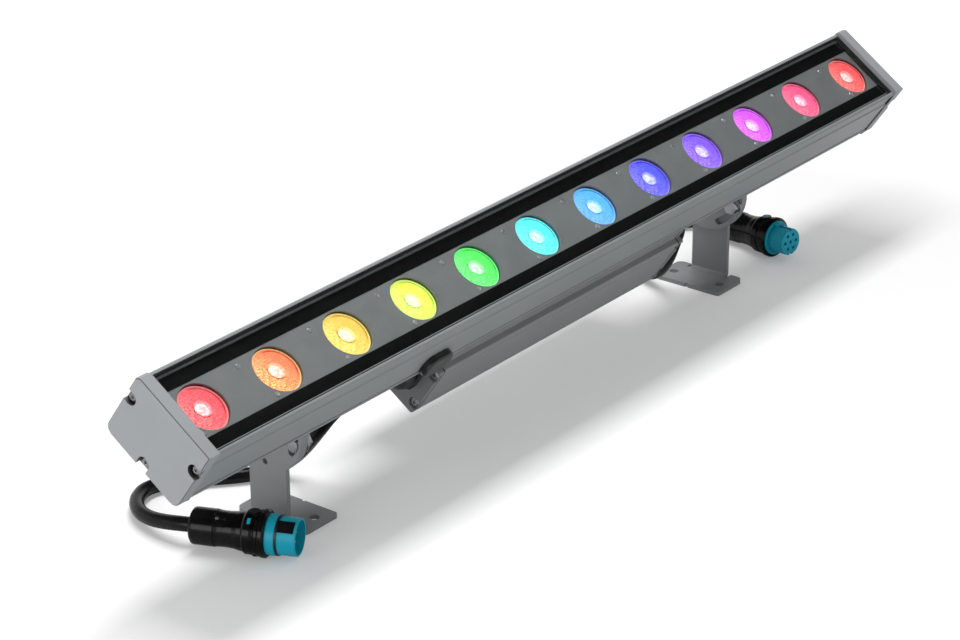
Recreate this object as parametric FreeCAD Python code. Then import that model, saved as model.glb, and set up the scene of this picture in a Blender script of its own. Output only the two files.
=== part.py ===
import FreeCAD
import Part
import math
import os

from FreeCAD import Vector

# Outdoor wall washer light: a long aluminium bar with twelve lenses, tilting between two
# folded steel feet, with a power box on its back and a short cord at each end of that box.
# Millimetres. +Z is up, X runs along the bar, the light leaves the bar towards -Y and up.
# The origin is on the floor, below the middle of the whole light.

# ---- driving dimensions: the bar's length and its lenses
BAR_LENGTH = 991.0
LENS_COUNT = 12
LENS_RADIUS = 21.2
LENS_END_GAP = 4.3

# ---- the tilt and its pivot, seen from the bar's own front plane
TILT_ANGLE = 34.6
PIVOT_BACK = 117.8
PIVOT_UP = 3.2
PIVOT_HEIGHT = 89.0
PLATE_RADIUS = 40.3
PIVOT_BOLT_RADIUS = 4.0
RUNNING_GAP = 0.05

# ---- end caps
CAP_WIDTH = 84.0
CAP_DEPTH = 65.0
CAP_THICKNESS = 12.0
CAP_FRONT_CHAMFER = 3.0
CAP_REAR_RADIUS = 7.5
CAP_EDGE = 0.6
CAP_POCKET_DEPTH = 7.0
CAP_POCKET_HALF_WIDTH = 28.0
CAP_POCKET_FRONT = 16.0
CAP_POCKET_REAR = 50.0
CAP_GASKET = 1.5
CAP_GASKET_INSET = 1.5
CAP_GASKET_CORNER = 3.0
CAP_GASKET_RIM = 10.0
CAP_GASKET_REAR_RIM = 12.0
CAP_SCREW_OUT = 37.0
CAP_SCREW_BACK = 22.0
CAP_REAR_SCREW_BACK = 58.8
CAP_NOTCH_WIDTH = 11.6
CAP_NOTCH_DEPTH = 5.0

# ---- the bar's extruded housing
HOUSING_WIDTH = 82.8
HOUSING_FRONT = 3.0
HOUSING_REAR = 64.0
HOUSING_WALL = 3.0
HOUSING_REAR_RADIUS = 6.5
LIP_OVERHANG = 1.8
LIP_THICKNESS = 1.2
LIP_CHAMFER = 1.4
COVE_DEPTH = 1.1
COVE_FRONT = 6.0
COVE_REAR = 19.0
RIDGE_REAR = 23.5
SIDE_STEP = 0.5
GROOVE_FRONT = 53.5
GROOVE_WIDTH = 2.2
GROOVE_DEPTH = 1.2
GROOVE_FLANK = 0.4
LEDGE_THICKNESS = 2.0
LEDGE_REACH = 3.4
RAIL_THICKNESS = 2.0
RAIL_REACH = 2.6
WEB_THICKNESS = 3.4
SCREW_PORT_RADIUS = 4.6
SCREW_PORT_BORE = 2.0

# ---- glass, seal, mask and lens plate
GLASS_THICKNESS = 3.8
GLASS_EDGE_SEAL = 1.0
SEAL_LIP = 1.3
SEAL_SKIN = 0.6
PLATE_THICKNESS = 1.5
PLATE_SIDE_GAP = 0.2
PLATE_SEAT_GAP = 0.1
MASK_INNER = 23.2
MASK_THICKNESS = 0.5
LENS_HOLE_GAP = 0.4
LENS_RECESS = 1.8

# ---- optics and light-emitting board
LENS_RIM = 2.8
LENS_STEP = 1.0
LENS_EDGE = 0.6
LENS_LENGTH = 20.0
LENS_REAR_RADIUS = 8.5
LENS_CAVITY_RADIUS = 4.4
LENS_CAVITY_DEPTH = 6.0
LENS_CAVITY_POINT = 1.0
HOLDER_WALL = 2.4
HOLDER_GRIP = 3.0
HOLDER_FOOT = 4.0
HOLDER_BORE = 5.6
HOLDER_GAP = 0.2
BOARD_THICKNESS = 1.6
BOARD_WIDTH = 50.0
BOARD_END_GAP = 12.0
EMITTER_SIZE = 6.8
EMITTER_HEIGHT = 1.2
EMITTER_DOME = 2.6
POST_RADIUS = 2.6
POST_UPPER = 16.5
POST_LOWER = -18.5
POST_UPPER_STEP = -30.0
POST_LOWER_STEP = -18.0
POST_HEAD_RADIUS = 2.3
POST_HEAD_HEIGHT = 0.9
POST_HEAD_EDGE = 0.5
POST_DIMPLE_DEPTH = 0.4
POST_DIMPLE_RADIUS = 0.9
POST_DIMPLE_SLOPE = 0.2
POST_THREAD_RADIUS = 1.3
POST_THREAD_LENGTH = 8.0
POST_THREAD_SPARE = 0.5

# ---- power box behind the bar
BOX_HALF_LENGTH = 177.0
BOX_WIDTH = 92.0
BOX_REAR = 128.0
BOX_SHOULDER_WIDTH = 6.0
BOX_NECK_DEPTH = 9.0
BOX_WALL = 3.0
BOX_CORNER = 3.0
BOX_RIB_BACK = 78.6
BOX_GROOVE_BACK = 121.0
BOX_GROOVE_SIZE = 1.4
BOX_END_THICKNESS = 6.0
BOX_END_FRONT_GAP = 0.4
BOX_END_SHOULDER = 1.5
BOX_GASKET = 1.2
BOX_GASKET_RIM = 12.0
BOX_GASKET_REAR_RIM = 4.0
BOX_SCREW_INSET = 4.4
BOX_SCREW_FRONT = 80.5
BOX_SCREW_REAR = 118.0
BOX_NOTCH_WIDTH = 10.0
BOX_NOTCH_DEPTH = 3.6

# ---- screws of the end caps and of the box
SCREW_HEAD_RADIUS = 4.3
SCREW_HEAD_HEIGHT = 2.6
SCREW_CROWN_INSET = 1.4
SCREW_EDGE_INSET = 0.4
SCREW_CROWN_DROP = 0.5
SCREW_EDGE_DROP = 1.2
SCREW_SHANK_RADIUS = 2.0
SCREW_GRIP = 9.0
SCREW_RECESS_RADIUS = 1.6
SCREW_RECESS_DEPTH = 1.3
SCREW_RECESS_SLIMNESS = 3
SCREW_HOLE_GAP = 0.3

# ---- driver inside the box
DRIVER_LENGTH = 300.0
DRIVER_WIDTH = 72.0
DRIVER_CHASSIS = 10.0
DRIVER_BOARD_LENGTH = 270.0
DRIVER_BOARD_WIDTH = 66.0
DRIVER_BOARD_THICKNESS = 1.6
TRANSFORMER_SIZE = (70.0, 52.0, 26.0)
TRANSFORMER_X = -85.0
CAPACITOR_RADIUS = 9.0
CAPACITOR_LENGTH = 24.0
CAPACITOR_X = (-18.0, 6.0, 30.0)
HEAT_PLATE_SIZE = (56.0, 5.0, 22.0)
HEAT_PLATE_X = 92.0

# ---- cable glands on the box ends
GLAND_UP = -19.0
GLAND_BACK = 95.0
GLAND_HEX_RADIUS = 18.0
GLAND_HEX_LENGTH = 8.0
GLAND_SPIGOT_RADIUS = 11.5
GLAND_SPIGOT_LENGTH = 6.0
GLAND_NUT_RADIUS = 15.5
GLAND_NUT_LENGTH = 14.0
GLAND_NUT_TIP_RADIUS = 9.6
GLAND_NUT_EDGE = 1.6
CORD_SEAT_DEPTH = 6.0

# ---- rubber boot that carries the wires from the box into the bar
BOOT_X = -198.0
BOOT_BACK = 48.0
BOOT_LENGTH = 33.0
BOOT_WIDTH = 22.0
BOOT_PROUD = 7.0
BOOT_ROUND = 3.0
BOOT_END_RADIUS = 8.8

# ---- folded steel feet
FOOT_X = 321.5
STEEL = 4.0
LEG_WIDTH = 39.6
LEG_FORWARD = 2.6
FOOT_WIDTH = 42.8
FOOT_LENGTH = 73.4
FOOT_OUTER_CORNER = 7.0
FOOT_INNER_CORNER = 3.0
BEND_RADIUS = 2.0
RELIEF_WIDTH = 3.0
RELIEF_DEPTH = 2.0
FOOT_HOLE_RADIUS = 4.5
FOOT_HOLE_SPACING = 52.0
FOOT_HOLE_IN = 25.0
CENTRE_MARK = 1.6
PARK_HOLE_RADIUS = 2.6

# ---- curved clamp slots, shared by the feet and the bar's lugs
SLOT_RADIUS = 32.8
SLOT_HALF_WIDTH = 3.3
SLOT_HALF_ANGLE = 30.0

# ---- lugs on the bar and their fixing
LUG_STEM_WIDTH = 54.0
LUG_FLANGE_LENGTH = 26.0
LUG_SCREW_SPACING = 30.0
LUG_SCREW_RADIUS = 2.5
LUG_SCREW_HEAD_RADIUS = 4.6
LUG_SCREW_HEAD_HEIGHT = 2.8
LUG_SCREW_HEAD_TOP = 2.6
LUG_SCREW_HEAD_EDGE = 1.2
LUG_SCREW_SPARE = 2.0

# ---- bolts
PIVOT_HEAD_RADIUS = 7.5
PIVOT_HEAD_LENGTH = 5.3
PIVOT_NUT_LENGTH = 4.8
PIVOT_SHANK_SPARE = 1.5
CLAMP_BOLT_RADIUS = 3.0
CLAMP_HEAD_RADIUS = 7.0
CLAMP_HEAD_LENGTH = 5.6
CLAMP_WASHER_RADIUS = 8.6
CLAMP_WASHER_THICKNESS = 1.6
CLAMP_SHOE_LENGTH = 11.0
CLAMP_SHOE_WIDTH = 8.4
CLAMP_SHOE_THICKNESS = 1.3
CLAMP_SHOE_ROUND = 3.99

# ---- connectors on the cords, measured along their own axis from the cable end
CORD_RADIUS = 6.25
GLAND_LEAD = 20.0
CABLE_LEAD = 8.0
PLUG_NUT_LENGTH = 21.3
PLUG_NUT_RADIUS = 15.3
PLUG_NUT_CHAMFER = 2.0
PLUG_NUT_EDGE = 0.8
PLUG_NUT_CROWN = 0.4
PLUG_WAIST_RADIUS = 14.6
PLUG_WAIST_START = 9.0
PLUG_WAIST_END = 15.0
PLUG_WAIST_RISE = 0.5
PLUG_SLEEVE_RADIUS = 15.0
PLUG_REAR_TAPER = 3.0
PLUG_REAR_DROP = 0.3
PLUG_SHOULDER = 44.5
PLUG_SHOULDER_TAPER = 4.0
PLUG_SHOULDER_START = 1.0
PLUG_SHOULDER_RISE = 1.6
PLUG_FLANGE = 58.6
PLUG_FACE = 64.0
PLUG_FLANGE_RADIUS = 19.6
PLUG_FLANGE_EDGE = 0.8
PLUG_FACE_EDGE = 1.5
PLUG_RING_RADIUS = 18.2
PLUG_RING_GAP = 0.3
PLUG_RING_CHAMFER = 1.0
PLUG_RING_CHAMFER_LENGTH = 1.5
PLUG_RING_BAND = 7.0
PLUG_RING_STEP = 1.2
PLUG_RING_STEP_LENGTH = 2.0
PLUG_RING_COLLAR = 4.0
PLUG_RING_COLLAR_SLOPE = 1.5
PLUG_RING_COLLAR_RISE = 0.6
RING_LUG_RADIUS = 4.4
RING_LUG_RISE = 1.4
RING_LUG_ROOT = 0.5
RING_LUG_OFFSET = 1.0
PLUG_BORE_RADIUS = 11.5
PLUG_BORE_START = 30.0
INSERT_FLANGE_RADIUS = 16.8
INSERT_FLANGE_END = 72.0
INSERT_EDGE = 0.6
SEAL_THICKNESS = 1.8
SEAL_STAND = 0.9
PLUG_NOSE_RADIUS = 15.6
PLUG_NOSE_WALL = 1.7
PLUG_NOSE_END = 89.2
PLUG_NOSE_FLOOR = 75.0
SOCKET_NOSE_RADIUS = 13.2
SOCKET_NOSE_END = 83.0
SOCKET_DISC_END = 65.6
CONTACT_CIRCLE = 7.6
CONTACT_COUNT = 6
PIN_RADIUS = 1.25
PIN_LENGTH = 9.0
PIN_TIP_LENGTH = 1.0
PIN_TIP_TAPER = 0.6
CONTACT_HOLE_RADIUS = 1.7
CONTACT_HOLE_DEPTH = 12.0
KEYWAY_WIDTH = 3.6
KEYWAY_DEPTH = 1.6
ARC_SHARE = 0.45
FLOOR_GAP = 0.2
PLUG_REAR = (-387.0, 52.0)
PLUG_HEADING = -66.4
PLUG_LEAN = 0.0
SOCKET_REAR = (402.9, 64.9)
SOCKET_HEADING = -99.0
SOCKET_LEAN = 3.5

os.makedirs("parts", exist_ok=True)

# ---- sizes that follow from the ones above
TILT = math.radians(TILT_ANGLE)
CAP_INNER_X = BAR_LENGTH / 2 - CAP_THICKNESS
HOUSING_HALF = CAP_INNER_X - CAP_GASKET
FIRST_LENS_X = -(HOUSING_HALF - LENS_END_GAP - LENS_RADIUS)
LENS_PITCH = -2 * FIRST_LENS_X / (LENS_COUNT - 1)
HALF_WIDTH = HOUSING_WIDTH / 2
INNER_HALF = HALF_WIDTH - HOUSING_WALL
SEAL_FRONT = HOUSING_FRONT + LIP_THICKNESS
GLASS_FRONT = SEAL_FRONT + SEAL_SKIN
GLASS_REAR = GLASS_FRONT + GLASS_THICKNESS
LEDGE_FRONT = GLASS_REAR + SEAL_SKIN
LEDGE_REAR = LEDGE_FRONT + LEDGE_THICKNESS
PLATE_FRONT = LEDGE_REAR + PLATE_SEAT_GAP
PLATE_REAR = PLATE_FRONT + PLATE_THICKNESS
RAIL_FRONT = PLATE_REAR + PLATE_SEAT_GAP
LENS_FRONT = PLATE_FRONT + LENS_RECESS
LENS_REAR = LENS_FRONT + LENS_LENGTH
BOARD_FRONT = LENS_REAR + HOLDER_FOOT
BOARD_REAR = BOARD_FRONT + BOARD_THICKNESS
WEB_REAR = BOARD_REAR + WEB_THICKNESS
BOX_NECK_HALF = BOX_WIDTH / 2 - BOX_SHOULDER_WIDTH
BOX_SCREW_OUT = BOX_WIDTH / 2 - BOX_SCREW_INSET
BOX_PROFILE_HALF = BOX_HALF_LENGTH - BOX_END_THICKNESS - BOX_GASKET
LEG_INNER_X = FOOT_X - STEEL
LUG_INNER_X = LEG_INNER_X - STEEL
PLATE_SINE = math.sin(TILT)
PLATE_COSINE = math.cos(TILT)


def reach_back(up, back):
    """How far behind the bar's front middle a point of the tilted bar lies."""
    return up * PLATE_COSINE + back * PLATE_SINE


FRONT_REACH = reach_back(-CAP_WIDTH / 2, 0)
REAR_REACH = max(
    reach_back(PIVOT_UP, PIVOT_BACK) + PLATE_RADIUS,
    reach_back(BOX_WIDTH / 2 - BOX_CORNER, BOX_REAR - BOX_CORNER) + BOX_CORNER,
)
PIVOT_Y = reach_back(PIVOT_UP, PIVOT_BACK) - (FRONT_REACH + REAR_REACH) / 2
PIVOT = Vector(0, PIVOT_Y, PIVOT_HEIGHT)
SLOT_MIDDLE = 180 + TILT_ANGLE / 2


# ---- general helpers

def rounded_wire(corners, place):
    """Closed outline through corners (a, b, radius), put in space by place(a, b)."""
    flat = [Vector(a, b, 0) for a, b, radius in corners]
    count = len(flat)
    starts = []
    ends = []
    middles = []
    for i in range(count):
        here = flat[i]
        radius = corners[i][2]
        to_last = (flat[i - 1] - here).normalize()
        to_next = (flat[(i + 1) % count] - here).normalize()
        if radius <= 0:
            starts.append(here)
            ends.append(here)
            middles.append(None)
            continue
        half = to_last.getAngle(to_next) / 2
        setback = radius / math.tan(half)
        bisector = (to_last + to_next).normalize()
        centre = here + bisector * (radius / math.sin(half))
        starts.append(here + to_last * setback)
        ends.append(here + to_next * setback)
        middles.append(centre - bisector * radius)
    edges = []
    for i in range(count):
        if middles[i] is not None:
            a = place(starts[i].x, starts[i].y)
            m = place(middles[i].x, middles[i].y)
            b = place(ends[i].x, ends[i].y)
            edges.append(Part.Arc(a, m, b).toShape())
        a = place(ends[i].x, ends[i].y)
        b = place(starts[(i + 1) % count].x, starts[(i + 1) % count].y)
        if a.distanceToPoint(b) > 1e-6:
            edges.append(Part.LineSegment(a, b).toShape())
    return Part.Wire(edges)


def bar_slab(corners, x_from, x_to):
    """A prism along X whose outline is given as (up, back, radius) on the bar."""
    def place(up, back):
        return Vector(x_from, up, -back)
    face = Part.Face(rounded_wire(corners, place))
    return face.extrude(Vector(x_to - x_from, 0, 0))


def rectangle(low_a, low_b, high_a, high_b, radius=0.0):
    return [(low_a, low_b, radius), (high_a, low_b, radius),
            (high_a, high_b, radius), (low_a, high_b, radius)]


def bar_box(x_from, x_to, up_from, up_to, front, rear):
    return Part.makeBox(x_to - x_from, up_to - up_from, rear - front,
                        Vector(x_from, up_from, -rear))


def mirrored_outline(half):
    """Adds the mirror image, across up = 0, of an outline's half given front to rear."""
    return half + [(-up, back, radius) for up, back, radius in reversed(half)]


def revolved(points, origin, axis):
    """A turned solid: points are (distance along the axis, radius)."""
    direction = Vector(axis).normalize()
    helper = Vector(0, 0, 1) if abs(direction.z) < 0.9 else Vector(0, 1, 0)
    side = direction.cross(helper).normalize()
    ring = [origin + direction * s + side * r for s, r in points]
    wire = Part.makePolygon(ring + [ring[0]])
    return Part.Face(wire).revolve(origin, direction, 360)


def on_bar(shape):
    """Moves a solid from the bar's own frame to its tilted place over the feet."""
    placed = shape.copy()
    placed.translate(Vector(0, -PIVOT_UP, PIVOT_BACK))
    placed.rotate(Vector(0, 0, 0), Vector(1, 0, 0), TILT_ANGLE)
    placed.translate(PIVOT)
    return placed


def mirrored(shape):
    return shape.mirror(Vector(0, 0, 0), Vector(1, 0, 0))


def save(name, solids):
    if not isinstance(solids, (list, tuple)):
        solids = [solids]
    shape = solids[0] if len(solids) == 1 else Part.makeCompound(solids)
    shape.exportStep("parts/" + name + ".step")
    count = len(shape.Solids)
    print(name, "solids", count, "volume", round(shape.Volume, 1), "valid", shape.isValid())


def lens_positions():
    return [FIRST_LENS_X + i * LENS_PITCH for i in range(LENS_COUNT)]


# ---- the bar

def housing_half_outline():
    """The upper half of the housing's outline, from the front lip round to the rear."""
    return [
        (HALF_WIDTH - LIP_CHAMFER, HOUSING_FRONT, 0),
        (HALF_WIDTH, HOUSING_FRONT + LIP_CHAMFER, 0),
        (HALF_WIDTH, COVE_FRONT, 0),
        (HALF_WIDTH - COVE_DEPTH, COVE_FRONT + COVE_DEPTH, 0),
        (HALF_WIDTH - COVE_DEPTH, COVE_REAR - COVE_DEPTH, 0),
        (HALF_WIDTH, COVE_REAR, 0),
        (HALF_WIDTH, RIDGE_REAR, 0),
        (HALF_WIDTH - SIDE_STEP, RIDGE_REAR + SIDE_STEP, 0),
        (HALF_WIDTH - SIDE_STEP, GROOVE_FRONT, 0),
        (HALF_WIDTH - GROOVE_DEPTH, GROOVE_FRONT + GROOVE_FLANK, 0),
        (HALF_WIDTH - GROOVE_DEPTH, GROOVE_FRONT + GROOVE_WIDTH - GROOVE_FLANK, 0),
        (HALF_WIDTH, GROOVE_FRONT + GROOVE_WIDTH, 0),
        (HALF_WIDTH, HOUSING_REAR, HOUSING_REAR_RADIUS),
    ]


def screw_ports():
    """Where the end cap screws run into the housing: (up, back)."""
    return [(CAP_SCREW_OUT, CAP_SCREW_BACK), (-CAP_SCREW_OUT, CAP_SCREW_BACK),
            (0.0, CAP_REAR_SCREW_BACK)]


def make_housing():
    half = HOUSING_HALF
    body = bar_slab(mirrored_outline(housing_half_outline()), -half, half)
    mouth = HALF_WIDTH - LIP_CHAMFER - LIP_OVERHANG
    seat = mouth + LIP_OVERHANG / 2
    ledge = INNER_HALF - LEDGE_REACH
    rail = INNER_HALF - RAIL_REACH
    chambers = [
        (mouth, HOUSING_FRONT - 1, SEAL_FRONT),
        (seat, SEAL_FRONT, LEDGE_FRONT),
        (ledge, LEDGE_FRONT, LEDGE_REAR),
        (INNER_HALF, LEDGE_REAR, RAIL_FRONT),
        (rail, RAIL_FRONT, RAIL_FRONT + RAIL_THICKNESS),
        (INNER_HALF, RAIL_FRONT + RAIL_THICKNESS, BOARD_REAR),
        (INNER_HALF, WEB_REAR, HOUSING_REAR - HOUSING_WALL),
    ]
    for width, front, rear in chambers:
        body = body.cut(bar_box(-half - 1, half + 1, -width, width, front, rear))
    inside = bar_slab(mirrored_outline(housing_half_outline()), -half, half)
    for up, back in screw_ports():
        origin = Vector(-half, up, -back)
        port = Part.makeCylinder(SCREW_PORT_RADIUS, 2 * half, origin, Vector(1, 0, 0))
        body = body.fuse(port.common(inside))
    for up, back in screw_ports():
        origin = Vector(-half, up, -back)
        bore = Part.makeCylinder(SCREW_PORT_BORE, 2 * half, origin, Vector(1, 0, 0))
        body = body.cut(bore)
    for side in (-1, 1):
        for point in lug_screw_points():
            x = side * point[0]
            origin = Vector(x, point[1], -HOUSING_REAR - 1)
            hole = Part.makeCylinder(LUG_SCREW_RADIUS, HOUSING_WALL + 2, origin)
            body = body.cut(hole)
    return body.removeSplitter()


def make_glass():
    mouth_seat = HALF_WIDTH - LIP_CHAMFER - LIP_OVERHANG / 2
    width = mouth_seat - GLASS_EDGE_SEAL
    half = HOUSING_HALF - GLASS_EDGE_SEAL
    return bar_box(-half, half, -width, width, GLASS_FRONT, GLASS_REAR)


def make_glass_seal():
    """Rubber channel round the glass, held between the lips and the ledges."""
    outer = HALF_WIDTH - LIP_CHAMFER - LIP_OVERHANG / 2
    inner = outer - GLASS_EDGE_SEAL - SEAL_LIP
    half = HOUSING_HALF
    end = half - GLASS_EDGE_SEAL - SEAL_LIP
    channel = bar_box(-half, half, -outer, outer, SEAL_FRONT, LEDGE_FRONT)
    window = bar_box(-end, end, -inner, inner, SEAL_FRONT - 1, LEDGE_FRONT + 1)
    return channel.cut(window).cut(make_glass())


def make_mask_strips():
    """Two black strips that cover the lens plate beside the lenses."""
    outer = INNER_HALF - LEDGE_REACH - PLATE_SIDE_GAP
    half = HOUSING_HALF
    strips = []
    for low, high in ((MASK_INNER, outer), (-outer, -MASK_INNER)):
        strips.append(bar_box(-half, half, low, high,
                              PLATE_FRONT - MASK_THICKNESS, PLATE_FRONT))
    return strips


def post_places():
    """Places (x, up) of the posts that hold the lens plate off the board."""
    places = []
    for x in lens_positions():
        places.append((x + POST_LOWER_STEP, POST_LOWER))
    for x in lens_positions()[1:]:
        places.append((x + POST_UPPER_STEP, POST_UPPER))
    return places


def make_lens_plate():
    width = INNER_HALF - PLATE_SIDE_GAP
    half = HOUSING_HALF
    plate = bar_box(-half, half, -width, width, PLATE_FRONT, PLATE_REAR)
    for x in lens_positions():
        origin = Vector(x, 0, -PLATE_REAR - 1)
        hole = Part.makeCylinder(LENS_RADIUS + LENS_HOLE_GAP, PLATE_THICKNESS + 2, origin)
        plate = plate.cut(hole)
    for x, up in post_places():
        origin = Vector(x, up, -PLATE_REAR - 1)
        plate = plate.cut(Part.makeCylinder(POST_THREAD_RADIUS, PLATE_THICKNESS + 2, origin))
    for up, back in screw_ports():
        origin = Vector(-half, up, -back)
        port = Part.makeCylinder(SCREW_PORT_RADIUS + HOLDER_GAP, 2 * half, origin,
                                 Vector(1, 0, 0))
        plate = plate.cut(port)
    return plate


def lens_slope():
    """How fast the lens narrows towards the board."""
    rim_rear = LENS_FRONT + LENS_RIM
    return (LENS_RADIUS - LENS_STEP - LENS_REAR_RADIUS) / (LENS_REAR - rim_rear)


def make_lens(x):
    """A cone-shaped optic with a flat front rim and a cavity over its emitter."""
    front = LENS_FRONT
    rim = front + LENS_RIM
    points = [
        (front, 0), (front, LENS_RADIUS - LENS_EDGE), (front + LENS_EDGE, LENS_RADIUS),
        (rim, LENS_RADIUS), (rim, LENS_RADIUS - LENS_STEP), (LENS_REAR, LENS_REAR_RADIUS),
        (LENS_REAR, LENS_CAVITY_RADIUS), (LENS_REAR - LENS_CAVITY_DEPTH, LENS_CAVITY_RADIUS),
        (LENS_REAR - LENS_CAVITY_DEPTH - LENS_CAVITY_POINT, 0),
    ]
    return revolved(points, Vector(x, 0, 0), Vector(0, 0, -1))


def make_holder(x):
    """A black cup, glued to the board, that grips the rear of a lens."""
    grip = LENS_REAR - HOLDER_GRIP
    grip_radius = LENS_REAR_RADIUS + lens_slope() * HOLDER_GRIP + HOLDER_GAP
    outer = grip_radius + HOLDER_WALL
    points = [
        (grip, grip_radius), (grip, outer), (BOARD_FRONT, outer),
        (BOARD_FRONT, HOLDER_BORE), (LENS_REAR, HOLDER_BORE),
        (LENS_REAR, LENS_REAR_RADIUS + HOLDER_GAP),
    ]
    return revolved(points, Vector(x, 0, 0), Vector(0, 0, -1))


def make_emitter(x):
    half = EMITTER_SIZE / 2
    base = bar_box(x - half, x + half, -half, half, BOARD_FRONT - EMITTER_HEIGHT, BOARD_FRONT)
    top = Vector(x, 0, -(BOARD_FRONT - EMITTER_HEIGHT))
    dome = Part.makeSphere(EMITTER_DOME, top, Vector(0, 0, 1), 0, 90, 360)
    return base.fuse(dome)


def make_board():
    half = HOUSING_HALF - BOARD_END_GAP
    return bar_box(-half, half, -BOARD_WIDTH / 2, BOARD_WIDTH / 2, BOARD_FRONT, BOARD_REAR)


def make_post(x, up):
    length = BOARD_FRONT - PLATE_REAR
    post = Part.makeCylinder(POST_RADIUS, length, Vector(x, up, -BOARD_FRONT))
    depth = POST_THREAD_LENGTH - PLATE_THICKNESS + POST_THREAD_SPARE
    thread = Part.makeCylinder(POST_THREAD_RADIUS, depth,
                               Vector(x, up, -PLATE_REAR - depth))
    return post.cut(thread)


def make_post_screw(x, up):
    """A small round-headed screw, its head on the lens plate."""
    head = PLATE_FRONT - POST_HEAD_HEIGHT
    tip = PLATE_FRONT + POST_THREAD_LENGTH
    floor = head + POST_DIMPLE_DEPTH
    points = [
        (floor, 0), (floor, POST_DIMPLE_RADIUS - POST_DIMPLE_SLOPE),
        (head, POST_DIMPLE_RADIUS), (head, POST_HEAD_RADIUS - POST_HEAD_EDGE),
        (head + POST_HEAD_EDGE, POST_HEAD_RADIUS), (PLATE_FRONT, POST_HEAD_RADIUS),
        (PLATE_FRONT, POST_THREAD_RADIUS), (tip, POST_THREAD_RADIUS), (tip, 0),
    ]
    return revolved(points, Vector(x, up, 0), Vector(0, 0, -1))


def make_bar():
    save("housing_profile", on_bar(make_housing()))
    save("front_glass", on_bar(make_glass()))
    save("glass_seal", on_bar(make_glass_seal()))
    save("mask_strips", [on_bar(strip) for strip in make_mask_strips()])
    save("lens_plate", on_bar(make_lens_plate()))
    for i, x in enumerate(lens_positions()):
        save("lens_%02d" % (i + 1), on_bar(make_lens(x)))
    save("lens_holders", [on_bar(make_holder(x)) for x in lens_positions()])
    save("led_board", on_bar(make_board()))
    save("led_emitters", [on_bar(make_emitter(x)) for x in lens_positions()])
    save("plate_posts", [on_bar(make_post(x, up)) for x, up in post_places()])
    save("plate_screws", [on_bar(make_post_screw(x, up)) for x, up in post_places()])


# ---- end caps

def cap_outline(grow=0.0):
    half = CAP_WIDTH / 2 + grow
    chamfer = CAP_FRONT_CHAMFER
    return [
        (-half, -grow, 0),
        (half - chamfer, -grow, 0),
        (half, chamfer - grow, 0),
        (half, CAP_DEPTH + grow, CAP_REAR_RADIUS),
        (-half, CAP_DEPTH + grow, CAP_REAR_RADIUS),
    ]


def notch_box(up, back, x_from, x_to, width, edge):
    """The U-shaped recess round a cap or box screw, open to the nearest edge."""
    half = width / 2
    round_end = Part.makeCylinder(half, x_to - x_from, Vector(x_from, up, -back),
                                  Vector(1, 0, 0))
    if up > half:
        run = bar_box(x_from, x_to, up, edge, back - half, back + half)
    elif up < -half:
        run = bar_box(x_from, x_to, -edge, up, back - half, back + half)
    else:
        run = bar_box(x_from, x_to, up - half, up + half, back, edge)
    return round_end.fuse(run)


def make_cap_left():
    outer_x = -BAR_LENGTH / 2
    inner_x = -CAP_INNER_X
    body = bar_slab(cap_outline(), outer_x + CAP_EDGE, inner_x)
    rim = bar_slab(cap_outline(-CAP_EDGE), outer_x, outer_x + CAP_EDGE)
    body = body.fuse(rim)
    pocket = bar_box(inner_x - CAP_POCKET_DEPTH, inner_x + 1, -CAP_POCKET_HALF_WIDTH,
                     CAP_POCKET_HALF_WIDTH, CAP_POCKET_FRONT, CAP_POCKET_REAR)
    body = body.cut(pocket)
    for up, back in screw_ports():
        edge = CAP_DEPTH + 1 if up == 0 else CAP_WIDTH / 2 + 1
        notch = notch_box(up, back, outer_x - 1, outer_x + CAP_NOTCH_DEPTH,
                          CAP_NOTCH_WIDTH, edge)
        body = body.cut(notch)
        hole = Part.makeCylinder(SCREW_SHANK_RADIUS + SCREW_HOLE_GAP, CAP_THICKNESS + 2,
                                 Vector(outer_x - 1, up, -back), Vector(1, 0, 0))
        body = body.cut(hole)
    return body.removeSplitter()


def make_cap_gasket_left():
    """Thin rubber sheet between the cap and the housing's cut end."""
    x_from = -CAP_INNER_X
    x_to = -HOUSING_HALF
    half = HALF_WIDTH
    front = HOUSING_FRONT + CAP_GASKET_INSET
    outline = rectangle(-half, front, half, HOUSING_REAR, CAP_GASKET_CORNER)
    sheet = bar_slab(outline, x_from, x_to)
    window = bar_box(x_from - 1, x_to + 1, -half + CAP_GASKET_RIM, half - CAP_GASKET_RIM,
                     front + CAP_GASKET_RIM, HOUSING_REAR - CAP_GASKET_REAR_RIM)
    sheet = sheet.cut(window)
    for up, back in screw_ports():
        hole = Part.makeCylinder(SCREW_SHANK_RADIUS + SCREW_HOLE_GAP, CAP_GASKET + 2,
                                 Vector(x_from - 1, up, -back), Vector(1, 0, 0))
        sheet = sheet.cut(hole)
    return sheet


def make_screw(seat_x, up, back, grip):
    """A pan-head screw along +X, its head resting on the plane x = seat_x."""
    head = SCREW_HEAD_HEIGHT
    radius = SCREW_HEAD_RADIUS
    points = [
        (-head, 0), (-head, radius - SCREW_CROWN_INSET),
        (-head + SCREW_CROWN_DROP, radius - SCREW_EDGE_INSET),
        (-head + SCREW_EDGE_DROP, radius), (0, radius), (0, SCREW_SHANK_RADIUS),
        (grip, SCREW_SHANK_RADIUS), (grip, 0),
    ]
    screw = revolved(points, Vector(seat_x, up, -back), Vector(1, 0, 0))
    arm = SCREW_RECESS_RADIUS
    slim = arm / SCREW_RECESS_SLIMNESS
    low = seat_x - head - 1
    high = seat_x - head + SCREW_RECESS_DEPTH
    for wide, tall in ((arm, slim), (slim, arm)):
        screw = screw.cut(bar_box(low, high, up - wide, up + wide, back - tall, back + tall))
    return screw


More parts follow.
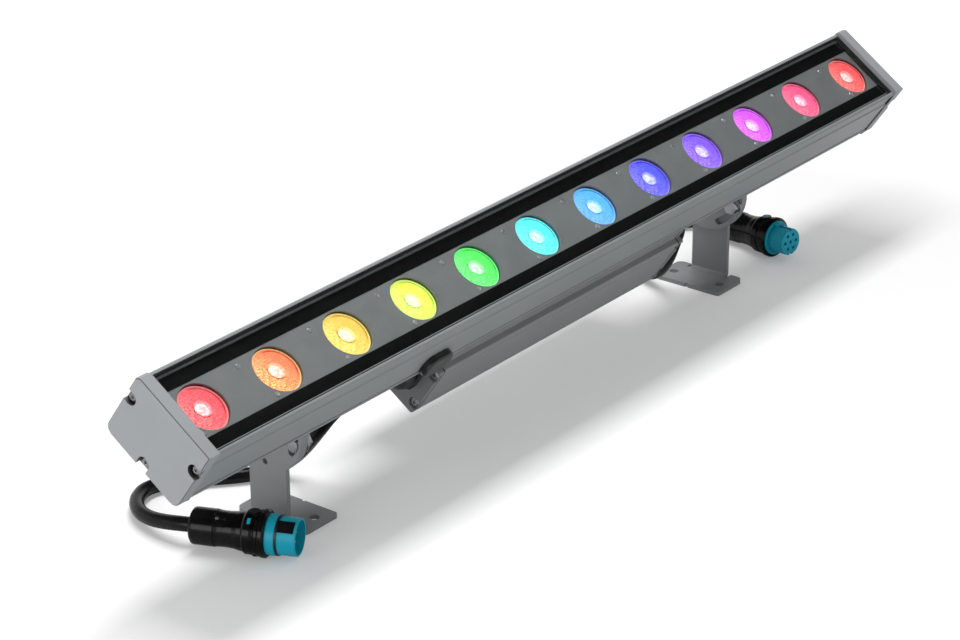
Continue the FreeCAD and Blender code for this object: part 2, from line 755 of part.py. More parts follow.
def make_cap_screws_left():
    seat = -BAR_LENGTH / 2 + CAP_NOTCH_DEPTH
    grip = CAP_THICKNESS - CAP_NOTCH_DEPTH + CAP_GASKET + SCREW_GRIP
    return [make_screw(seat, up, back, grip) for up, back in screw_ports()]


def make_caps():
    cap = on_bar(make_cap_left())
    gasket = on_bar(make_cap_gasket_left())
    screws = [on_bar(screw) for screw in make_cap_screws_left()]
    save("end_cap_left", cap)
    save("end_cap_right", mirrored(cap))
    save("cap_gaskets", [gasket, mirrored(gasket)])
    save("cap_screws", screws + [mirrored(screw) for screw in screws])


# ---- power box

def box_half_outline():
    """The upper half of the box's outline, from its neck to its rear corner."""
    half = BOX_WIDTH / 2
    neck = BOX_NECK_HALF
    size = BOX_GROOVE_SIZE
    shoulder = HOUSING_REAR + BOX_NECK_DEPTH
    return [
        (neck, HOUSING_REAR, 0),
        (neck, shoulder, 0),
        (half - size, shoulder, 0),
        (half, shoulder + size, 0),
        (half, BOX_RIB_BACK - size, 0),
        (half - size, BOX_RIB_BACK, 0),
        (half, BOX_RIB_BACK + size, 0),
        (half, BOX_GROOVE_BACK - size, 0),
        (half - size, BOX_GROOVE_BACK, 0),
        (half, BOX_GROOVE_BACK + size, 0),
        (half, BOX_REAR, BOX_CORNER),
    ]


def box_screw_places():
    places = []
    for up in (BOX_SCREW_OUT, -BOX_SCREW_OUT):
        for back in (BOX_SCREW_FRONT, BOX_SCREW_REAR):
            places.append((up, back))
    return places


def make_box_profile():
    half = BOX_PROFILE_HALF
    outline = mirrored_outline(box_half_outline())
    body = bar_slab(outline, -half, half)
    width = BOX_WIDTH / 2 - BOX_WALL - BOX_GROOVE_SIZE
    front = HOUSING_REAR + BOX_NECK_DEPTH + BOX_WALL
    cavity = bar_box(-half - 1, half + 1, -width, width, front, BOX_REAR - BOX_WALL)
    neck = BOX_NECK_HALF - BOX_WALL
    throat = bar_box(-half - 1, half + 1, -neck, neck, HOUSING_REAR + BOX_WALL, front)
    hollow = body.cut(cavity).cut(throat)
    for up, back in box_screw_places():
        origin = Vector(-half, up, -back)
        port = Part.makeCylinder(SCREW_PORT_RADIUS, 2 * half, origin, Vector(1, 0, 0))
        hollow = hollow.fuse(port.common(body))
    for up, back in box_screw_places():
        origin = Vector(-half, up, -back)
        bore = Part.makeCylinder(SCREW_PORT_BORE, 2 * half, origin, Vector(1, 0, 0))
        hollow = hollow.cut(bore)
    return hollow.removeSplitter()


def box_end_outline():
    half = BOX_WIDTH / 2
    front = HOUSING_REAR + BOX_END_FRONT_GAP
    neck = BOX_NECK_HALF
    shoulder = HOUSING_REAR + BOX_NECK_DEPTH
    side = [(neck, front, 0), (neck, shoulder, 0), (half, shoulder, BOX_END_SHOULDER),
            (half, BOX_REAR, BOX_CORNER)]
    return mirrored_outline(side)


def make_box_end_left():
    outer_x = -BOX_HALF_LENGTH
    inner_x = outer_x + BOX_END_THICKNESS
    plate = bar_slab(box_end_outline(), outer_x, inner_x)
    for up, back in box_screw_places():
        notch = notch_box(up, back, outer_x - 1, outer_x + BOX_NOTCH_DEPTH,
                          BOX_NOTCH_WIDTH, BOX_WIDTH / 2 + 1)
        hole = Part.makeCylinder(SCREW_SHANK_RADIUS + SCREW_HOLE_GAP, BOX_END_THICKNESS + 2,
                                 Vector(outer_x - 1, up, -back), Vector(1, 0, 0))
        plate = plate.cut(notch).cut(hole)
    inlet = Part.makeCylinder(GLAND_SPIGOT_RADIUS + SCREW_HOLE_GAP, BOX_END_THICKNESS + 2,
                              Vector(outer_x - 1, GLAND_UP, -GLAND_BACK), Vector(1, 0, 0))
    return plate.cut(inlet).removeSplitter()


def make_box_gasket_left():
    x_from = -BOX_HALF_LENGTH + BOX_END_THICKNESS
    x_to = x_from + BOX_GASKET
    sheet = bar_slab(box_end_outline(), x_from, x_to)
    half = BOX_WIDTH / 2 - BOX_GASKET_RIM
    window = bar_box(x_from - 1, x_to + 1, -half, half,
                     HOUSING_REAR + BOX_GASKET_RIM, BOX_REAR - BOX_GASKET_REAR_RIM)
    sheet = sheet.cut(window)
    for up, back in box_screw_places():
        hole = Part.makeCylinder(SCREW_SHANK_RADIUS + SCREW_HOLE_GAP, BOX_GASKET + 2,
                                 Vector(x_from - 1, up, -back), Vector(1, 0, 0))
        sheet = sheet.cut(hole)
    return sheet


def make_box_screws_left():
    seat = -BOX_HALF_LENGTH + BOX_NOTCH_DEPTH
    grip = BOX_END_THICKNESS - BOX_NOTCH_DEPTH + BOX_GASKET + SCREW_GRIP
    return [make_screw(seat, up, back, grip) for up, back in box_screw_places()]


def make_driver_chassis():
    """Aluminium plate that carries the driver on the box's rear wall."""
    rear = BOX_REAR - BOX_WALL
    return bar_box(-DRIVER_LENGTH / 2, DRIVER_LENGTH / 2, -DRIVER_WIDTH / 2,
                   DRIVER_WIDTH / 2, rear - DRIVER_CHASSIS, rear)


def make_driver_board():
    rear = BOX_REAR - BOX_WALL - DRIVER_CHASSIS
    return bar_box(-DRIVER_BOARD_LENGTH / 2, DRIVER_BOARD_LENGTH / 2,
                   -DRIVER_BOARD_WIDTH / 2, DRIVER_BOARD_WIDTH / 2,
                   rear - DRIVER_BOARD_THICKNESS, rear)


def make_driver_parts():
    """Transformer, capacitors and heat plate standing on the driver board."""
    seat = BOX_REAR - BOX_WALL - DRIVER_CHASSIS - DRIVER_BOARD_THICKNESS
    long_size, wide_size, tall_size = TRANSFORMER_SIZE
    parts = [bar_box(TRANSFORMER_X - long_size / 2, TRANSFORMER_X + long_size / 2,
                     -wide_size / 2, wide_size / 2, seat - tall_size, seat)]
    for x in CAPACITOR_X:
        parts.append(Part.makeCylinder(CAPACITOR_RADIUS, CAPACITOR_LENGTH,
                                       Vector(x, 0, -seat)))
    long_size, wide_size, tall_size = HEAT_PLATE_SIZE
    parts.append(bar_box(HEAT_PLATE_X - long_size / 2, HEAT_PLATE_X + long_size / 2,
                         -wide_size / 2, wide_size / 2, seat - tall_size, seat))
    return parts


def make_gland_left():
    """The gland's six-sided body, with the spigot that passes through the box end."""
    face = -BOX_HALF_LENGTH
    origin = Vector(face - GLAND_HEX_LENGTH, GLAND_UP, -GLAND_BACK)
    corners = []
    for i in range(6):
        angle = math.radians(30 + 60 * i)
        corners.append((GLAND_UP + GLAND_HEX_RADIUS * math.cos(angle),
                        GLAND_BACK + GLAND_HEX_RADIUS * math.sin(angle), 0))
    body = bar_slab(corners, face - GLAND_HEX_LENGTH, face)
    reach = GLAND_HEX_LENGTH + BOX_END_THICKNESS + GLAND_SPIGOT_LENGTH
    spigot = Part.makeCylinder(GLAND_SPIGOT_RADIUS, reach, origin, Vector(1, 0, 0))
    bore = Part.makeCylinder(CORD_RADIUS, reach + 2, origin - Vector(1, 0, 0),
                             Vector(1, 0, 0))
    return body.fuse(spigot).cut(bore)


def gland_tip_x():
    return BOX_HALF_LENGTH + GLAND_HEX_LENGTH + GLAND_NUT_LENGTH


def make_gland_nut_left():
    """The domed nut of the gland; the cord starts on the floor of its mouth."""
    start = Vector(-BOX_HALF_LENGTH - GLAND_HEX_LENGTH, GLAND_UP, -GLAND_BACK)
    length = GLAND_NUT_LENGTH
    points = [
        (0, 0), (0, GLAND_NUT_RADIUS), (length * 0.45, GLAND_NUT_RADIUS),
        (length * 0.75, GLAND_NUT_RADIUS - GLAND_NUT_EDGE),
        (length * 0.93, GLAND_NUT_TIP_RADIUS + GLAND_NUT_EDGE),
        (length, GLAND_NUT_TIP_RADIUS), (length, CORD_RADIUS),
        (length - CORD_SEAT_DEPTH, CORD_RADIUS), (length - CORD_SEAT_DEPTH, 0),
    ]
    return revolved(points, start, Vector(-1, 0, 0))


def make_boot():
    """Black rubber boot on the bar's lower side, beside the box's left end."""
    face = -(HALF_WIDTH - SIDE_STEP)
    half = BOOT_LENGTH / 2
    wide = BOOT_WIDTH / 2
    corners = rectangle(BOOT_X - half, BOOT_BACK - wide, BOOT_X + half, BOOT_BACK + wide,
                        min(BOOT_END_RADIUS, wide * 0.9))

    def place(along, back):
        return Vector(along, face - BOOT_PROUD, -back)
    block = Part.Face(rounded_wire(corners, place)).extrude(Vector(0, BOOT_PROUD, 0))
    outer = [edge for edge in block.Edges
             if abs(edge.BoundBox.YMax - (face - BOOT_PROUD)) < 1e-4]
    block = block.makeFillet(BOOT_ROUND, outer)
    return block.cut(make_housing_envelope())


def make_housing_envelope():
    half = HOUSING_HALF
    return bar_slab(mirrored_outline(housing_half_outline()), -half, half)


def make_box():
    end = on_bar(make_box_end_left())
    gasket = on_bar(make_box_gasket_left())
    screws = [on_bar(screw) for screw in make_box_screws_left()]
    gland = on_bar(make_gland_left())
    nut = on_bar(make_gland_nut_left())
    save("power_box", on_bar(make_box_profile()))
    save("box_end_left", end)
    save("box_end_right", mirrored(end))
    save("box_gaskets", [gasket, mirrored(gasket)])
    save("box_screws", screws + [mirrored(screw) for screw in screws])
    save("driver_chassis", on_bar(make_driver_chassis()))
    save("driver_board", on_bar(make_driver_board()))
    save("driver_parts", [on_bar(part) for part in make_driver_parts()])
    save("gland_left", gland)
    save("gland_right", mirrored(gland))
    save("gland_nuts", [nut, mirrored(nut)])
    save("link_boot", on_bar(make_boot()))


# ---- feet, lugs and their bolts

def arc_slot(centre, middle_degrees, x_from, thickness):
    """A curved slot through a plate across X, centred on an angle about the pivot."""
    inner = SLOT_RADIUS - SLOT_HALF_WIDTH
    outer = SLOT_RADIUS + SLOT_HALF_WIDTH

    def at(radius, degrees, push=0.0):
        turn = math.radians(degrees)
        ahead = Vector(0, -math.sin(turn), math.cos(turn)) * push
        return centre + Vector(x_from, radius * math.cos(turn), radius * math.sin(turn)) + ahead
    low = middle_degrees - SLOT_HALF_ANGLE
    high = middle_degrees + SLOT_HALF_ANGLE
    edges = [
        Part.Arc(at(outer, low), at(outer, middle_degrees), at(outer, high)).toShape(),
        Part.Arc(at(outer, high), at(SLOT_RADIUS, high, SLOT_HALF_WIDTH),
                 at(inner, high)).toShape(),
        Part.Arc(at(inner, high), at(inner, middle_degrees), at(inner, low)).toShape(),
        Part.Arc(at(inner, low), at(SLOT_RADIUS, low, -SLOT_HALF_WIDTH),
                 at(outer, low)).toShape(),
    ]
    return Part.Face(Part.Wire(edges)).extrude(Vector(thickness, 0, 0))


def make_foot_left():
    """Foot folded from one steel plate: a round-topped leg and a flat base with holes."""
    outer = -FOOT_X
    inner = outer + FOOT_WIDTH
    middle = PIVOT_Y - LEG_FORWARD
    front = middle - FOOT_LENGTH / 2
    rear = middle + FOOT_LENGTH / 2
    leg_front = middle - LEG_WIDTH / 2
    reach = STEEL + BEND_RADIUS
    leg = Part.makeBox(STEEL, LEG_WIDTH, PIVOT_HEIGHT - reach,
                       Vector(outer, leg_front, reach))
    disc = Part.makeCylinder(PLATE_RADIUS, STEEL, PIVOT + Vector(outer, 0, 0),
                             Vector(1, 0, 0))

    def on_floor(along, across):
        return Vector(along, across, 0)
    base_corners = [(outer, front, FOOT_OUTER_CORNER), (inner, front, FOOT_INNER_CORNER),
                    (inner, rear, FOOT_INNER_CORNER), (outer, rear, FOOT_OUTER_CORNER)]
    base = Part.Face(rounded_wire(base_corners, on_floor)).extrude(Vector(0, 0, STEEL))
    bend_zone = Part.makeBox(reach + 1, LEG_WIDTH, reach,
                             Vector(outer - 1, leg_front, -1))
    elbow_axis = Vector(outer + reach, leg_front, reach)
    elbow = Part.makeCylinder(reach, LEG_WIDTH, elbow_axis, Vector(0, 1, 0))
    hollow = Part.makeCylinder(BEND_RADIUS, LEG_WIDTH + 2, elbow_axis - Vector(0, 1, 0),
                               Vector(0, 1, 0))
    quarter = Part.makeBox(reach, LEG_WIDTH, reach, Vector(outer, leg_front, 0))
    elbow = elbow.common(quarter).cut(hollow)
    body = base.cut(bend_zone).fuse([leg, disc, elbow])
    for low in (leg_front - RELIEF_WIDTH, leg_front + LEG_WIDTH):
        relief = Part.makeBox(RELIEF_DEPTH + reach + 1, RELIEF_WIDTH, reach,
                              Vector(outer - 1, low, -1))
        body = body.cut(relief)
    for side in (-1, 1):
        hole = Part.makeCylinder(FOOT_HOLE_RADIUS, STEEL + 2,
                                 Vector(outer + FOOT_HOLE_IN,
                                        middle + side * FOOT_HOLE_SPACING / 2, -1))
        body = body.cut(hole)
    mark = Part.makeCylinder(CENTRE_MARK, STEEL + 2, Vector(inner, middle, -1))
    body = body.cut(mark)
    body = body.cut(arc_slot(PIVOT, 180.0, outer - 1, STEEL + 2))
    pivot_hole = Part.makeCylinder(PIVOT_BOLT_RADIUS + RUNNING_GAP, STEEL + 2,
                                   PIVOT + Vector(outer - 1, 0, 0), Vector(1, 0, 0))
    park = Part.makeCylinder(PARK_HOLE_RADIUS, STEEL + 2,
                             PIVOT + Vector(outer - 1, 0, -SLOT_RADIUS), Vector(1, 0, 0))
    return body.cut(pivot_hole).cut(park).removeSplitter()


def lug_screw_points():
    """Where the lug's flange is screwed to the housing: (x, up), for the right side."""
    x = LUG_INNER_X - LUG_FLANGE_LENGTH / 2
    return [(x, PIVOT_UP - LUG_SCREW_SPACING / 2), (x, PIVOT_UP + LUG_SCREW_SPACING / 2)]


def make_lug_right():
    """Steel lug in the bar's frame: a round plate on a stem, with a screwed flange."""
    x = LUG_INNER_X
    centre = Vector(0, PIVOT_UP, -PIVOT_BACK)
    disc = Part.makeCylinder(PLATE_RADIUS, STEEL, centre + Vector(x, 0, 0), Vector(1, 0, 0))
    half = LUG_STEM_WIDTH / 2
    stem = bar_box(x, x + STEEL, PIVOT_UP - half, PIVOT_UP + half, HOUSING_REAR, PIVOT_BACK)
    flange = bar_box(x - LUG_FLANGE_LENGTH, x, PIVOT_UP - half, PIVOT_UP + half,
                     HOUSING_REAR, HOUSING_REAR + STEEL)
    body = disc.fuse([stem, flange])
    body = body.cut(arc_slot(centre, 180.0, x - 1, STEEL + 2))
    hole = Part.makeCylinder(PIVOT_BOLT_RADIUS + RUNNING_GAP, STEEL + 2,
                             centre + Vector(x - 1, 0, 0), Vector(1, 0, 0))
    body = body.cut(hole)
    for along, up in lug_screw_points():
        screw_hole = Part.makeCylinder(LUG_SCREW_RADIUS, STEEL + 2,
                                       Vector(along, up, -HOUSING_REAR - STEEL - 1))
        body = body.cut(screw_hole)
    return body.removeSplitter()


def make_lug_screws_right():
    """Button-head screws that hold the lug's flange to the housing's rear wall."""
    screws = []
    for along, up in lug_screw_points():
        seat = HOUSING_REAR + STEEL
        top = seat + LUG_SCREW_HEAD_HEIGHT
        tip = HOUSING_REAR - HOUSING_WALL - LUG_SCREW_SPARE
        points = [
            (top, 0), (top, LUG_SCREW_HEAD_TOP),
            (seat + LUG_SCREW_HEAD_EDGE, LUG_SCREW_HEAD_RADIUS), (seat, LUG_SCREW_HEAD_RADIUS),
            (seat, LUG_SCREW_RADIUS), (tip, LUG_SCREW_RADIUS), (tip, 0),
        ]
        screws.append(revolved(points, Vector(along, up, 0), Vector(0, 0, -1)))
    return screws


def hexagon(x_from, length, centre, radius):
    corners = []
    for i in range(6):
        angle = math.radians(60 * i)
        corners.append((centre.y + radius * math.cos(angle),
                        centre.z + radius * math.sin(angle), 0))

    def place(a, b):
        return Vector(x_from, a, b)
    return Part.Face(rounded_wire(corners, place)).extrude(Vector(length, 0, 0))


def make_pivot_bolt_right():
    """Hex bolt on the inner side and a plain nut outside, on the tilt axis."""
    head = hexagon(LUG_INNER_X - PIVOT_HEAD_LENGTH, PIVOT_HEAD_LENGTH, PIVOT,
                   PIVOT_HEAD_RADIUS)
    shank_length = 2 * STEEL + PIVOT_NUT_LENGTH + PIVOT_SHANK_SPARE
    shank = Part.makeCylinder(PIVOT_BOLT_RADIUS, shank_length,
                              PIVOT + Vector(LUG_INNER_X, 0, 0), Vector(1, 0, 0))
    nut = hexagon(FOOT_X, PIVOT_NUT_LENGTH, PIVOT, PIVOT_HEAD_RADIUS)
    bore = Part.makeCylinder(PIVOT_BOLT_RADIUS, PIVOT_NUT_LENGTH + 2,
                             PIVOT + Vector(FOOT_X - 1, 0, 0), Vector(1, 0, 0))
    return [head.fuse(shank), nut.cut(bore)]


def clamp_centre():
    turn = math.radians(SLOT_MIDDLE)
    return PIVOT + Vector(0, SLOT_RADIUS * math.cos(turn), SLOT_RADIUS * math.sin(turn))


def make_clamp_right():
    """Clamp bolt with its washer, and the oblong shoe it screws into outside the leg."""
    centre = clamp_centre()
    washer_x = LUG_INNER_X - CLAMP_WASHER_THICKNESS
    washer = Part.makeCylinder(CLAMP_WASHER_RADIUS, CLAMP_WASHER_THICKNESS,
                               centre + Vector(washer_x, 0, 0), Vector(1, 0, 0))
    washer_hole = Part.makeCylinder(CLAMP_BOLT_RADIUS, CLAMP_WASHER_THICKNESS + 2,
                                    centre + Vector(washer_x - 1, 0, 0), Vector(1, 0, 0))
    head = hexagon(washer_x - CLAMP_HEAD_LENGTH, CLAMP_HEAD_LENGTH, centre,
                   CLAMP_HEAD_RADIUS)
    shank_length = CLAMP_WASHER_THICKNESS + 2 * STEEL + CLAMP_SHOE_THICKNESS
    shank = Part.makeCylinder(CLAMP_BOLT_RADIUS, shank_length,
                              centre + Vector(washer_x, 0, 0), Vector(1, 0, 0))
    half = CLAMP_SHOE_LENGTH / 2
    wide = CLAMP_SHOE_WIDTH / 2
    corners = rectangle(-wide, -half, wide, half, min(CLAMP_SHOE_ROUND, wide * 0.98))

    def place(a, b):
        return Vector(FOOT_X, a, b)
    shoe = Part.Face(rounded_wire(corners, place)).extrude(Vector(CLAMP_SHOE_THICKNESS, 0, 0))
    shoe.rotate(Vector(FOOT_X, 0, 0), Vector(1, 0, 0), SLOT_MIDDLE - 180)
    shoe.translate(Vector(0, centre.y, centre.z))
    bore = Part.makeCylinder(CLAMP_BOLT_RADIUS, CLAMP_SHOE_THICKNESS + 2,
                             centre + Vector(FOOT_X - 1, 0, 0), Vector(1, 0, 0))
    return [head.fuse(shank), washer.cut(washer_hole), shoe.cut(bore)]


def make_feet():
    foot = make_foot_left()
    lug = on_bar(make_lug_right())
    lug_screws = [on_bar(screw) for screw in make_lug_screws_right()]
    pivot = make_pivot_bolt_right()
    clamp = make_clamp_right()
    save("foot_left", foot)
    save("foot_right", mirrored(foot))
    save("lug_left", mirrored(lug))
    save("lug_right", lug)
    save("lug_screws", [mirrored(screw) for screw in lug_screws] + lug_screws)
    save("pivot_bolt_left", [mirrored(solid) for solid in pivot])
    save("pivot_bolt_right", pivot)
    save("clamp_bolt_left", [mirrored(solid) for solid in clamp])
    save("clamp_bolt_right", clamp)


# ---- connectors: built along +X from the cable end, then laid on the floor

def along_x(points):
    return revolved(points, Vector(0, 0, 0), Vector(1, 0, 0))


def make_plug_nut():
    """Cable nut; the cord ends on the floor of its mouth."""
    length = PLUG_NUT_LENGTH
    radius = PLUG_NUT_RADIUS
    chamfer = PLUG_NUT_CHAMFER
    points = [
        (0, CORD_RADIUS), (0, radius - chamfer), (chamfer * 0.6, radius - PLUG_NUT_CROWN),
        (chamfer * 1.6, radius), (length - PLUG_NUT_EDGE, radius),
        (length, radius - PLUG_NUT_EDGE), (length, 0),
        (CORD_SEAT_DEPTH, 0), (CORD_SEAT_DEPTH, CORD_RADIUS),
    ]
    return along_x(points)


def make_plug_body():
    """Waisted body with a front sleeve for the lock ring and a wide end flange."""
    start = PLUG_NUT_LENGTH
    points = [
        (start, 0), (start, PLUG_SLEEVE_RADIUS),
        (start + PLUG_REAR_TAPER, PLUG_SLEEVE_RADIUS - PLUG_REAR_DROP),
        (start + PLUG_WAIST_START, PLUG_WAIST_RADIUS),
        (start + PLUG_WAIST_END, PLUG_WAIST_RADIUS + PLUG_WAIST_RISE),
        (PLUG_SHOULDER - PLUG_SHOULDER_TAPER, PLUG_SLEEVE_RADIUS + PLUG_SHOULDER_START),
        (PLUG_SHOULDER, PLUG_SLEEVE_RADIUS + PLUG_SHOULDER_RISE),
        (PLUG_SHOULDER, PLUG_SLEEVE_RADIUS),
        (PLUG_FLANGE, PLUG_SLEEVE_RADIUS),
        (PLUG_FLANGE, PLUG_FLANGE_RADIUS - PLUG_FLANGE_EDGE),
        (PLUG_FLANGE + PLUG_FLANGE_EDGE, PLUG_FLANGE_RADIUS),
        (PLUG_FACE - PLUG_FACE_EDGE, PLUG_FLANGE_RADIUS),
        (PLUG_FACE, PLUG_FLANGE_RADIUS - PLUG_FACE_EDGE), (PLUG_FACE, PLUG_BORE_RADIUS),
        (PLUG_BORE_START, PLUG_BORE_RADIUS), (PLUG_BORE_START, 0),
    ]
    return along_x(points)


def make_lock_ring():
    """Ring that turns on the body's sleeve, with grip lugs, to lock a mated pair."""
    inner = PLUG_SLEEVE_RADIUS + PLUG_RING_GAP
    start = PLUG_SHOULDER + PLUG_RING_GAP
    end = PLUG_FLANGE - PLUG_RING_GAP
    band_end = start + PLUG_RING_BAND
    low = PLUG_RING_RADIUS - PLUG_RING_STEP
    high = PLUG_RING_RADIUS + PLUG_RING_COLLAR_RISE
    points = [
        (start, inner), (start, PLUG_RING_RADIUS - PLUG_RING_CHAMFER),
        (start + PLUG_RING_CHAMFER_LENGTH, PLUG_RING_RADIUS), (band_end, PLUG_RING_RADIUS),
        (band_end + PLUG_RING_STEP_LENGTH, low), (end - PLUG_RING_COLLAR, low),
        (end - PLUG_RING_COLLAR + PLUG_RING_COLLAR_SLOPE, high), (end, high), (end, inner),
    ]
    ring = along_x(points)
    along = (start + end) / 2 + RING_LUG_OFFSET
    root = inner + RING_LUG_ROOT
    for turn in (0, 180):
        lug = Part.makeCylinder(RING_LUG_RADIUS, PLUG_RING_RADIUS + RING_LUG_RISE - root,
                                Vector(along, 0, root), Vector(0, 0, 1))
        lug.rotate(Vector(0, 0, 0), Vector(1, 0, 0), turn)
        ring = ring.fuse(lug)
    return ring


def contact_places():
    """The contacts: one in the middle and the rest on a circle, as (y, z)."""
    places = [(0.0, 0.0)]
    for i in range(CONTACT_COUNT):
        turn = 2 * math.pi * i / CONTACT_COUNT
        places.append((CONTACT_CIRCLE * math.cos(turn), CONTACT_CIRCLE * math.sin(turn)))
    return places


def make_plug_insert():
    """Blue-green insert of the plug: a hollow nose round its pins."""
    inner = PLUG_NOSE_RADIUS - PLUG_NOSE_WALL
    points = [
        (PLUG_BORE_START, 0), (PLUG_BORE_START, PLUG_BORE_RADIUS),
        (PLUG_FACE, PLUG_BORE_RADIUS), (PLUG_FACE, INSERT_FLANGE_RADIUS),
        (INSERT_FLANGE_END - INSERT_EDGE, INSERT_FLANGE_RADIUS),
        (INSERT_FLANGE_END, INSERT_FLANGE_RADIUS - INSERT_EDGE),
        (INSERT_FLANGE_END, PLUG_NOSE_RADIUS), (PLUG_NOSE_END - INSERT_EDGE, PLUG_NOSE_RADIUS),
        (PLUG_NOSE_END, PLUG_NOSE_RADIUS - INSERT_EDGE), (PLUG_NOSE_END, inner),
        (PLUG_NOSE_FLOOR, inner), (PLUG_NOSE_FLOOR, 0),
    ]
    body = along_x(points)
    for y, z in contact_places():
        hole = Part.makeCylinder(PIN_RADIUS, PIN_LENGTH / 2,
                                 Vector(PLUG_NOSE_FLOOR - PIN_LENGTH / 2, y, z),
                                 Vector(1, 0, 0))
        body = body.cut(hole)
    return body


def make_plug_pins():
    pins = []
    start = PLUG_NOSE_FLOOR - PIN_LENGTH / 2
    tip = PLUG_NOSE_FLOOR + PIN_LENGTH
    points = [(start, 0), (start, PIN_RADIUS), (tip - PIN_TIP_LENGTH, PIN_RADIUS),
              (tip, PIN_RADIUS - PIN_TIP_TAPER), (tip, 0)]
    for y, z in contact_places():
        pins.append(revolved(points, Vector(0, y, z), Vector(1, 0, 0)))
    return pins


def make_socket_insert():
    """Blue-green insert of the socket: a solid nose with contact holes and a keyway."""
    points = [
        (PLUG_BORE_START, 0), (PLUG_BORE_START, PLUG_BORE_RADIUS),
        (PLUG_FACE, PLUG_BORE_RADIUS), (PLUG_FACE, INSERT_FLANGE_RADIUS),
        (SOCKET_DISC_END - INSERT_EDGE, INSERT_FLANGE_RADIUS),
        (SOCKET_DISC_END, INSERT_FLANGE_RADIUS - INSERT_EDGE),
        (SOCKET_DISC_END, SOCKET_NOSE_RADIUS),
        (SOCKET_NOSE_END - INSERT_EDGE, SOCKET_NOSE_RADIUS),
        (SOCKET_NOSE_END, SOCKET_NOSE_RADIUS - INSERT_EDGE), (SOCKET_NOSE_END, 0),
    ]
    body = along_x(points)
    for y, z in contact_places():
        hole = Part.makeCylinder(CONTACT_HOLE_RADIUS, CONTACT_HOLE_DEPTH + 1,
                                 Vector(SOCKET_NOSE_END - CONTACT_HOLE_DEPTH, y, z),
                                 Vector(1, 0, 0))
        body = body.cut(hole)
    length = SOCKET_NOSE_END - SOCKET_DISC_END
    for side in (-1, 1):
        z = side * (SOCKET_NOSE_RADIUS - KEYWAY_DEPTH / 2)
        keyway = Part.makeBox(length + 1, KEYWAY_WIDTH, KEYWAY_DEPTH * 1.5,
                              Vector(SOCKET_DISC_END, -KEYWAY_WIDTH / 2,
                                     z - KEYWAY_DEPTH * 0.75))
        body = body.cut(keyway)
    return body


def make_face_seal(start, nose_radius):
    """Round sealing ring on the nose, against the insert's flange."""
    points = [(start, nose_radius), (start, nose_radius + SEAL_STAND),
              (start + SEAL_THICKNESS, nose_radius + SEAL_STAND),
              (start + SEAL_THICKNESS, nose_radius)]
    return along_x(points)


def connector_axis(heading, lean):
    turn = math.radians(heading)
    rise = math.radians(lean)
    return Vector(math.cos(rise) * math.cos(turn), math.cos(rise) * math.sin(turn),
                  math.sin(rise))


def connector_point(place, distance):
    """A point on a connector's axis, measured from its cable end towards the nose."""
    rear, heading, lean = place
    rise = math.radians(lean)
    flange = PLUG_FLANGE + PLUG_FLANGE_EDGE
    height = FLOOR_GAP + PLUG_FLANGE_RADIUS * math.cos(rise) - flange * math.sin(rise)
    return Vector(rear[0], rear[1], height) + connector_axis(heading, lean) * distance


def lay_down(shape, place):
    """Lays a connector on the floor on its widest flange, turned and raised as placed."""
    rear, heading, lean = place
    placed = shape.copy()
    placed.rotate(Vector(0, 0, 0), Vector(0, 1, 0), -lean)
    placed.rotate(Vector(0, 0, 0), Vector(0, 0, 1), heading)
    placed.translate(connector_point(place, 0))
    return placed


PLUG_PLACE = (PLUG_REAR, PLUG_HEADING, PLUG_LEAN)
SOCKET_PLACE = (SOCKET_REAR, SOCKET_HEADING, SOCKET_LEAN)


def make_connectors():
    seal_plug = make_face_seal(INSERT_FLANGE_END, PLUG_NOSE_RADIUS)
    seal_socket = make_face_seal(SOCKET_DISC_END, SOCKET_NOSE_RADIUS)
    save("plug_nut", lay_down(make_plug_nut(), PLUG_PLACE))
    save("plug_body", lay_down(make_plug_body(), PLUG_PLACE))
    save("plug_ring", lay_down(make_lock_ring(), PLUG_PLACE))
    save("plug_insert", lay_down(make_plug_insert(), PLUG_PLACE))
    save("plug_pins", [lay_down(pin, PLUG_PLACE) for pin in make_plug_pins()])
    save("socket_nut", lay_down(make_plug_nut(), SOCKET_PLACE))
    save("socket_body", lay_down(make_plug_body(), SOCKET_PLACE))
    save("socket_ring", lay_down(make_lock_ring(), SOCKET_PLACE))
    save("socket_insert", lay_down(make_socket_insert(), SOCKET_PLACE))
    save("face_seals", [lay_down(seal_plug, PLUG_PLACE),
                        lay_down(seal_socket, SOCKET_PLACE)])


# ---- cords: straight runs joined by tangent arcs

CORD_LEFT_ROUTE = [
    (-236.0, 6.0, 92.0),
    (-251.0, 18.0, 78.0),
    (-255.0, 33.0, 56.0),
    (-251.0, 49.0, 37.0),
    (-250.0, 65.0, 20.0),
    (-258.0, 80.0, 8.5),
    (-276.0, 92.0, 6.5),
    (-297.0, 111.0, 6.4),
    (-320.0, 131.0, 6.8),
    (-345.0, 143.0, 7.8),
    (-368.0, 134.0, 8.6),
    (-384.0, 115.0, 10.2),
    (-390.0, 96.0, 12.4),
    (-391.5, 77.0, 16.2),
]
CORD_RIGHT_ROUTE = [
    (231.0, 6.0, 84.0),
    (238.0, 17.0, 62.0),
    (247.0, 30.0, 38.0),
    (257.0, 48.0, 17.0),
    (267.0, 72.0, 7.5),
    (281.0, 95.0, 6.4),
    (299.0, 115.0, 6.4),
    (322.0, 128.0, 6.4),
    (347.0, 133.0, 6.4),
    (370.0, 129.0, 6.5),
    (390.0, 119.0, 7.0),
    (402.0, 106.0, 8.2),
    (405.0, 90.0, 12.0),
]


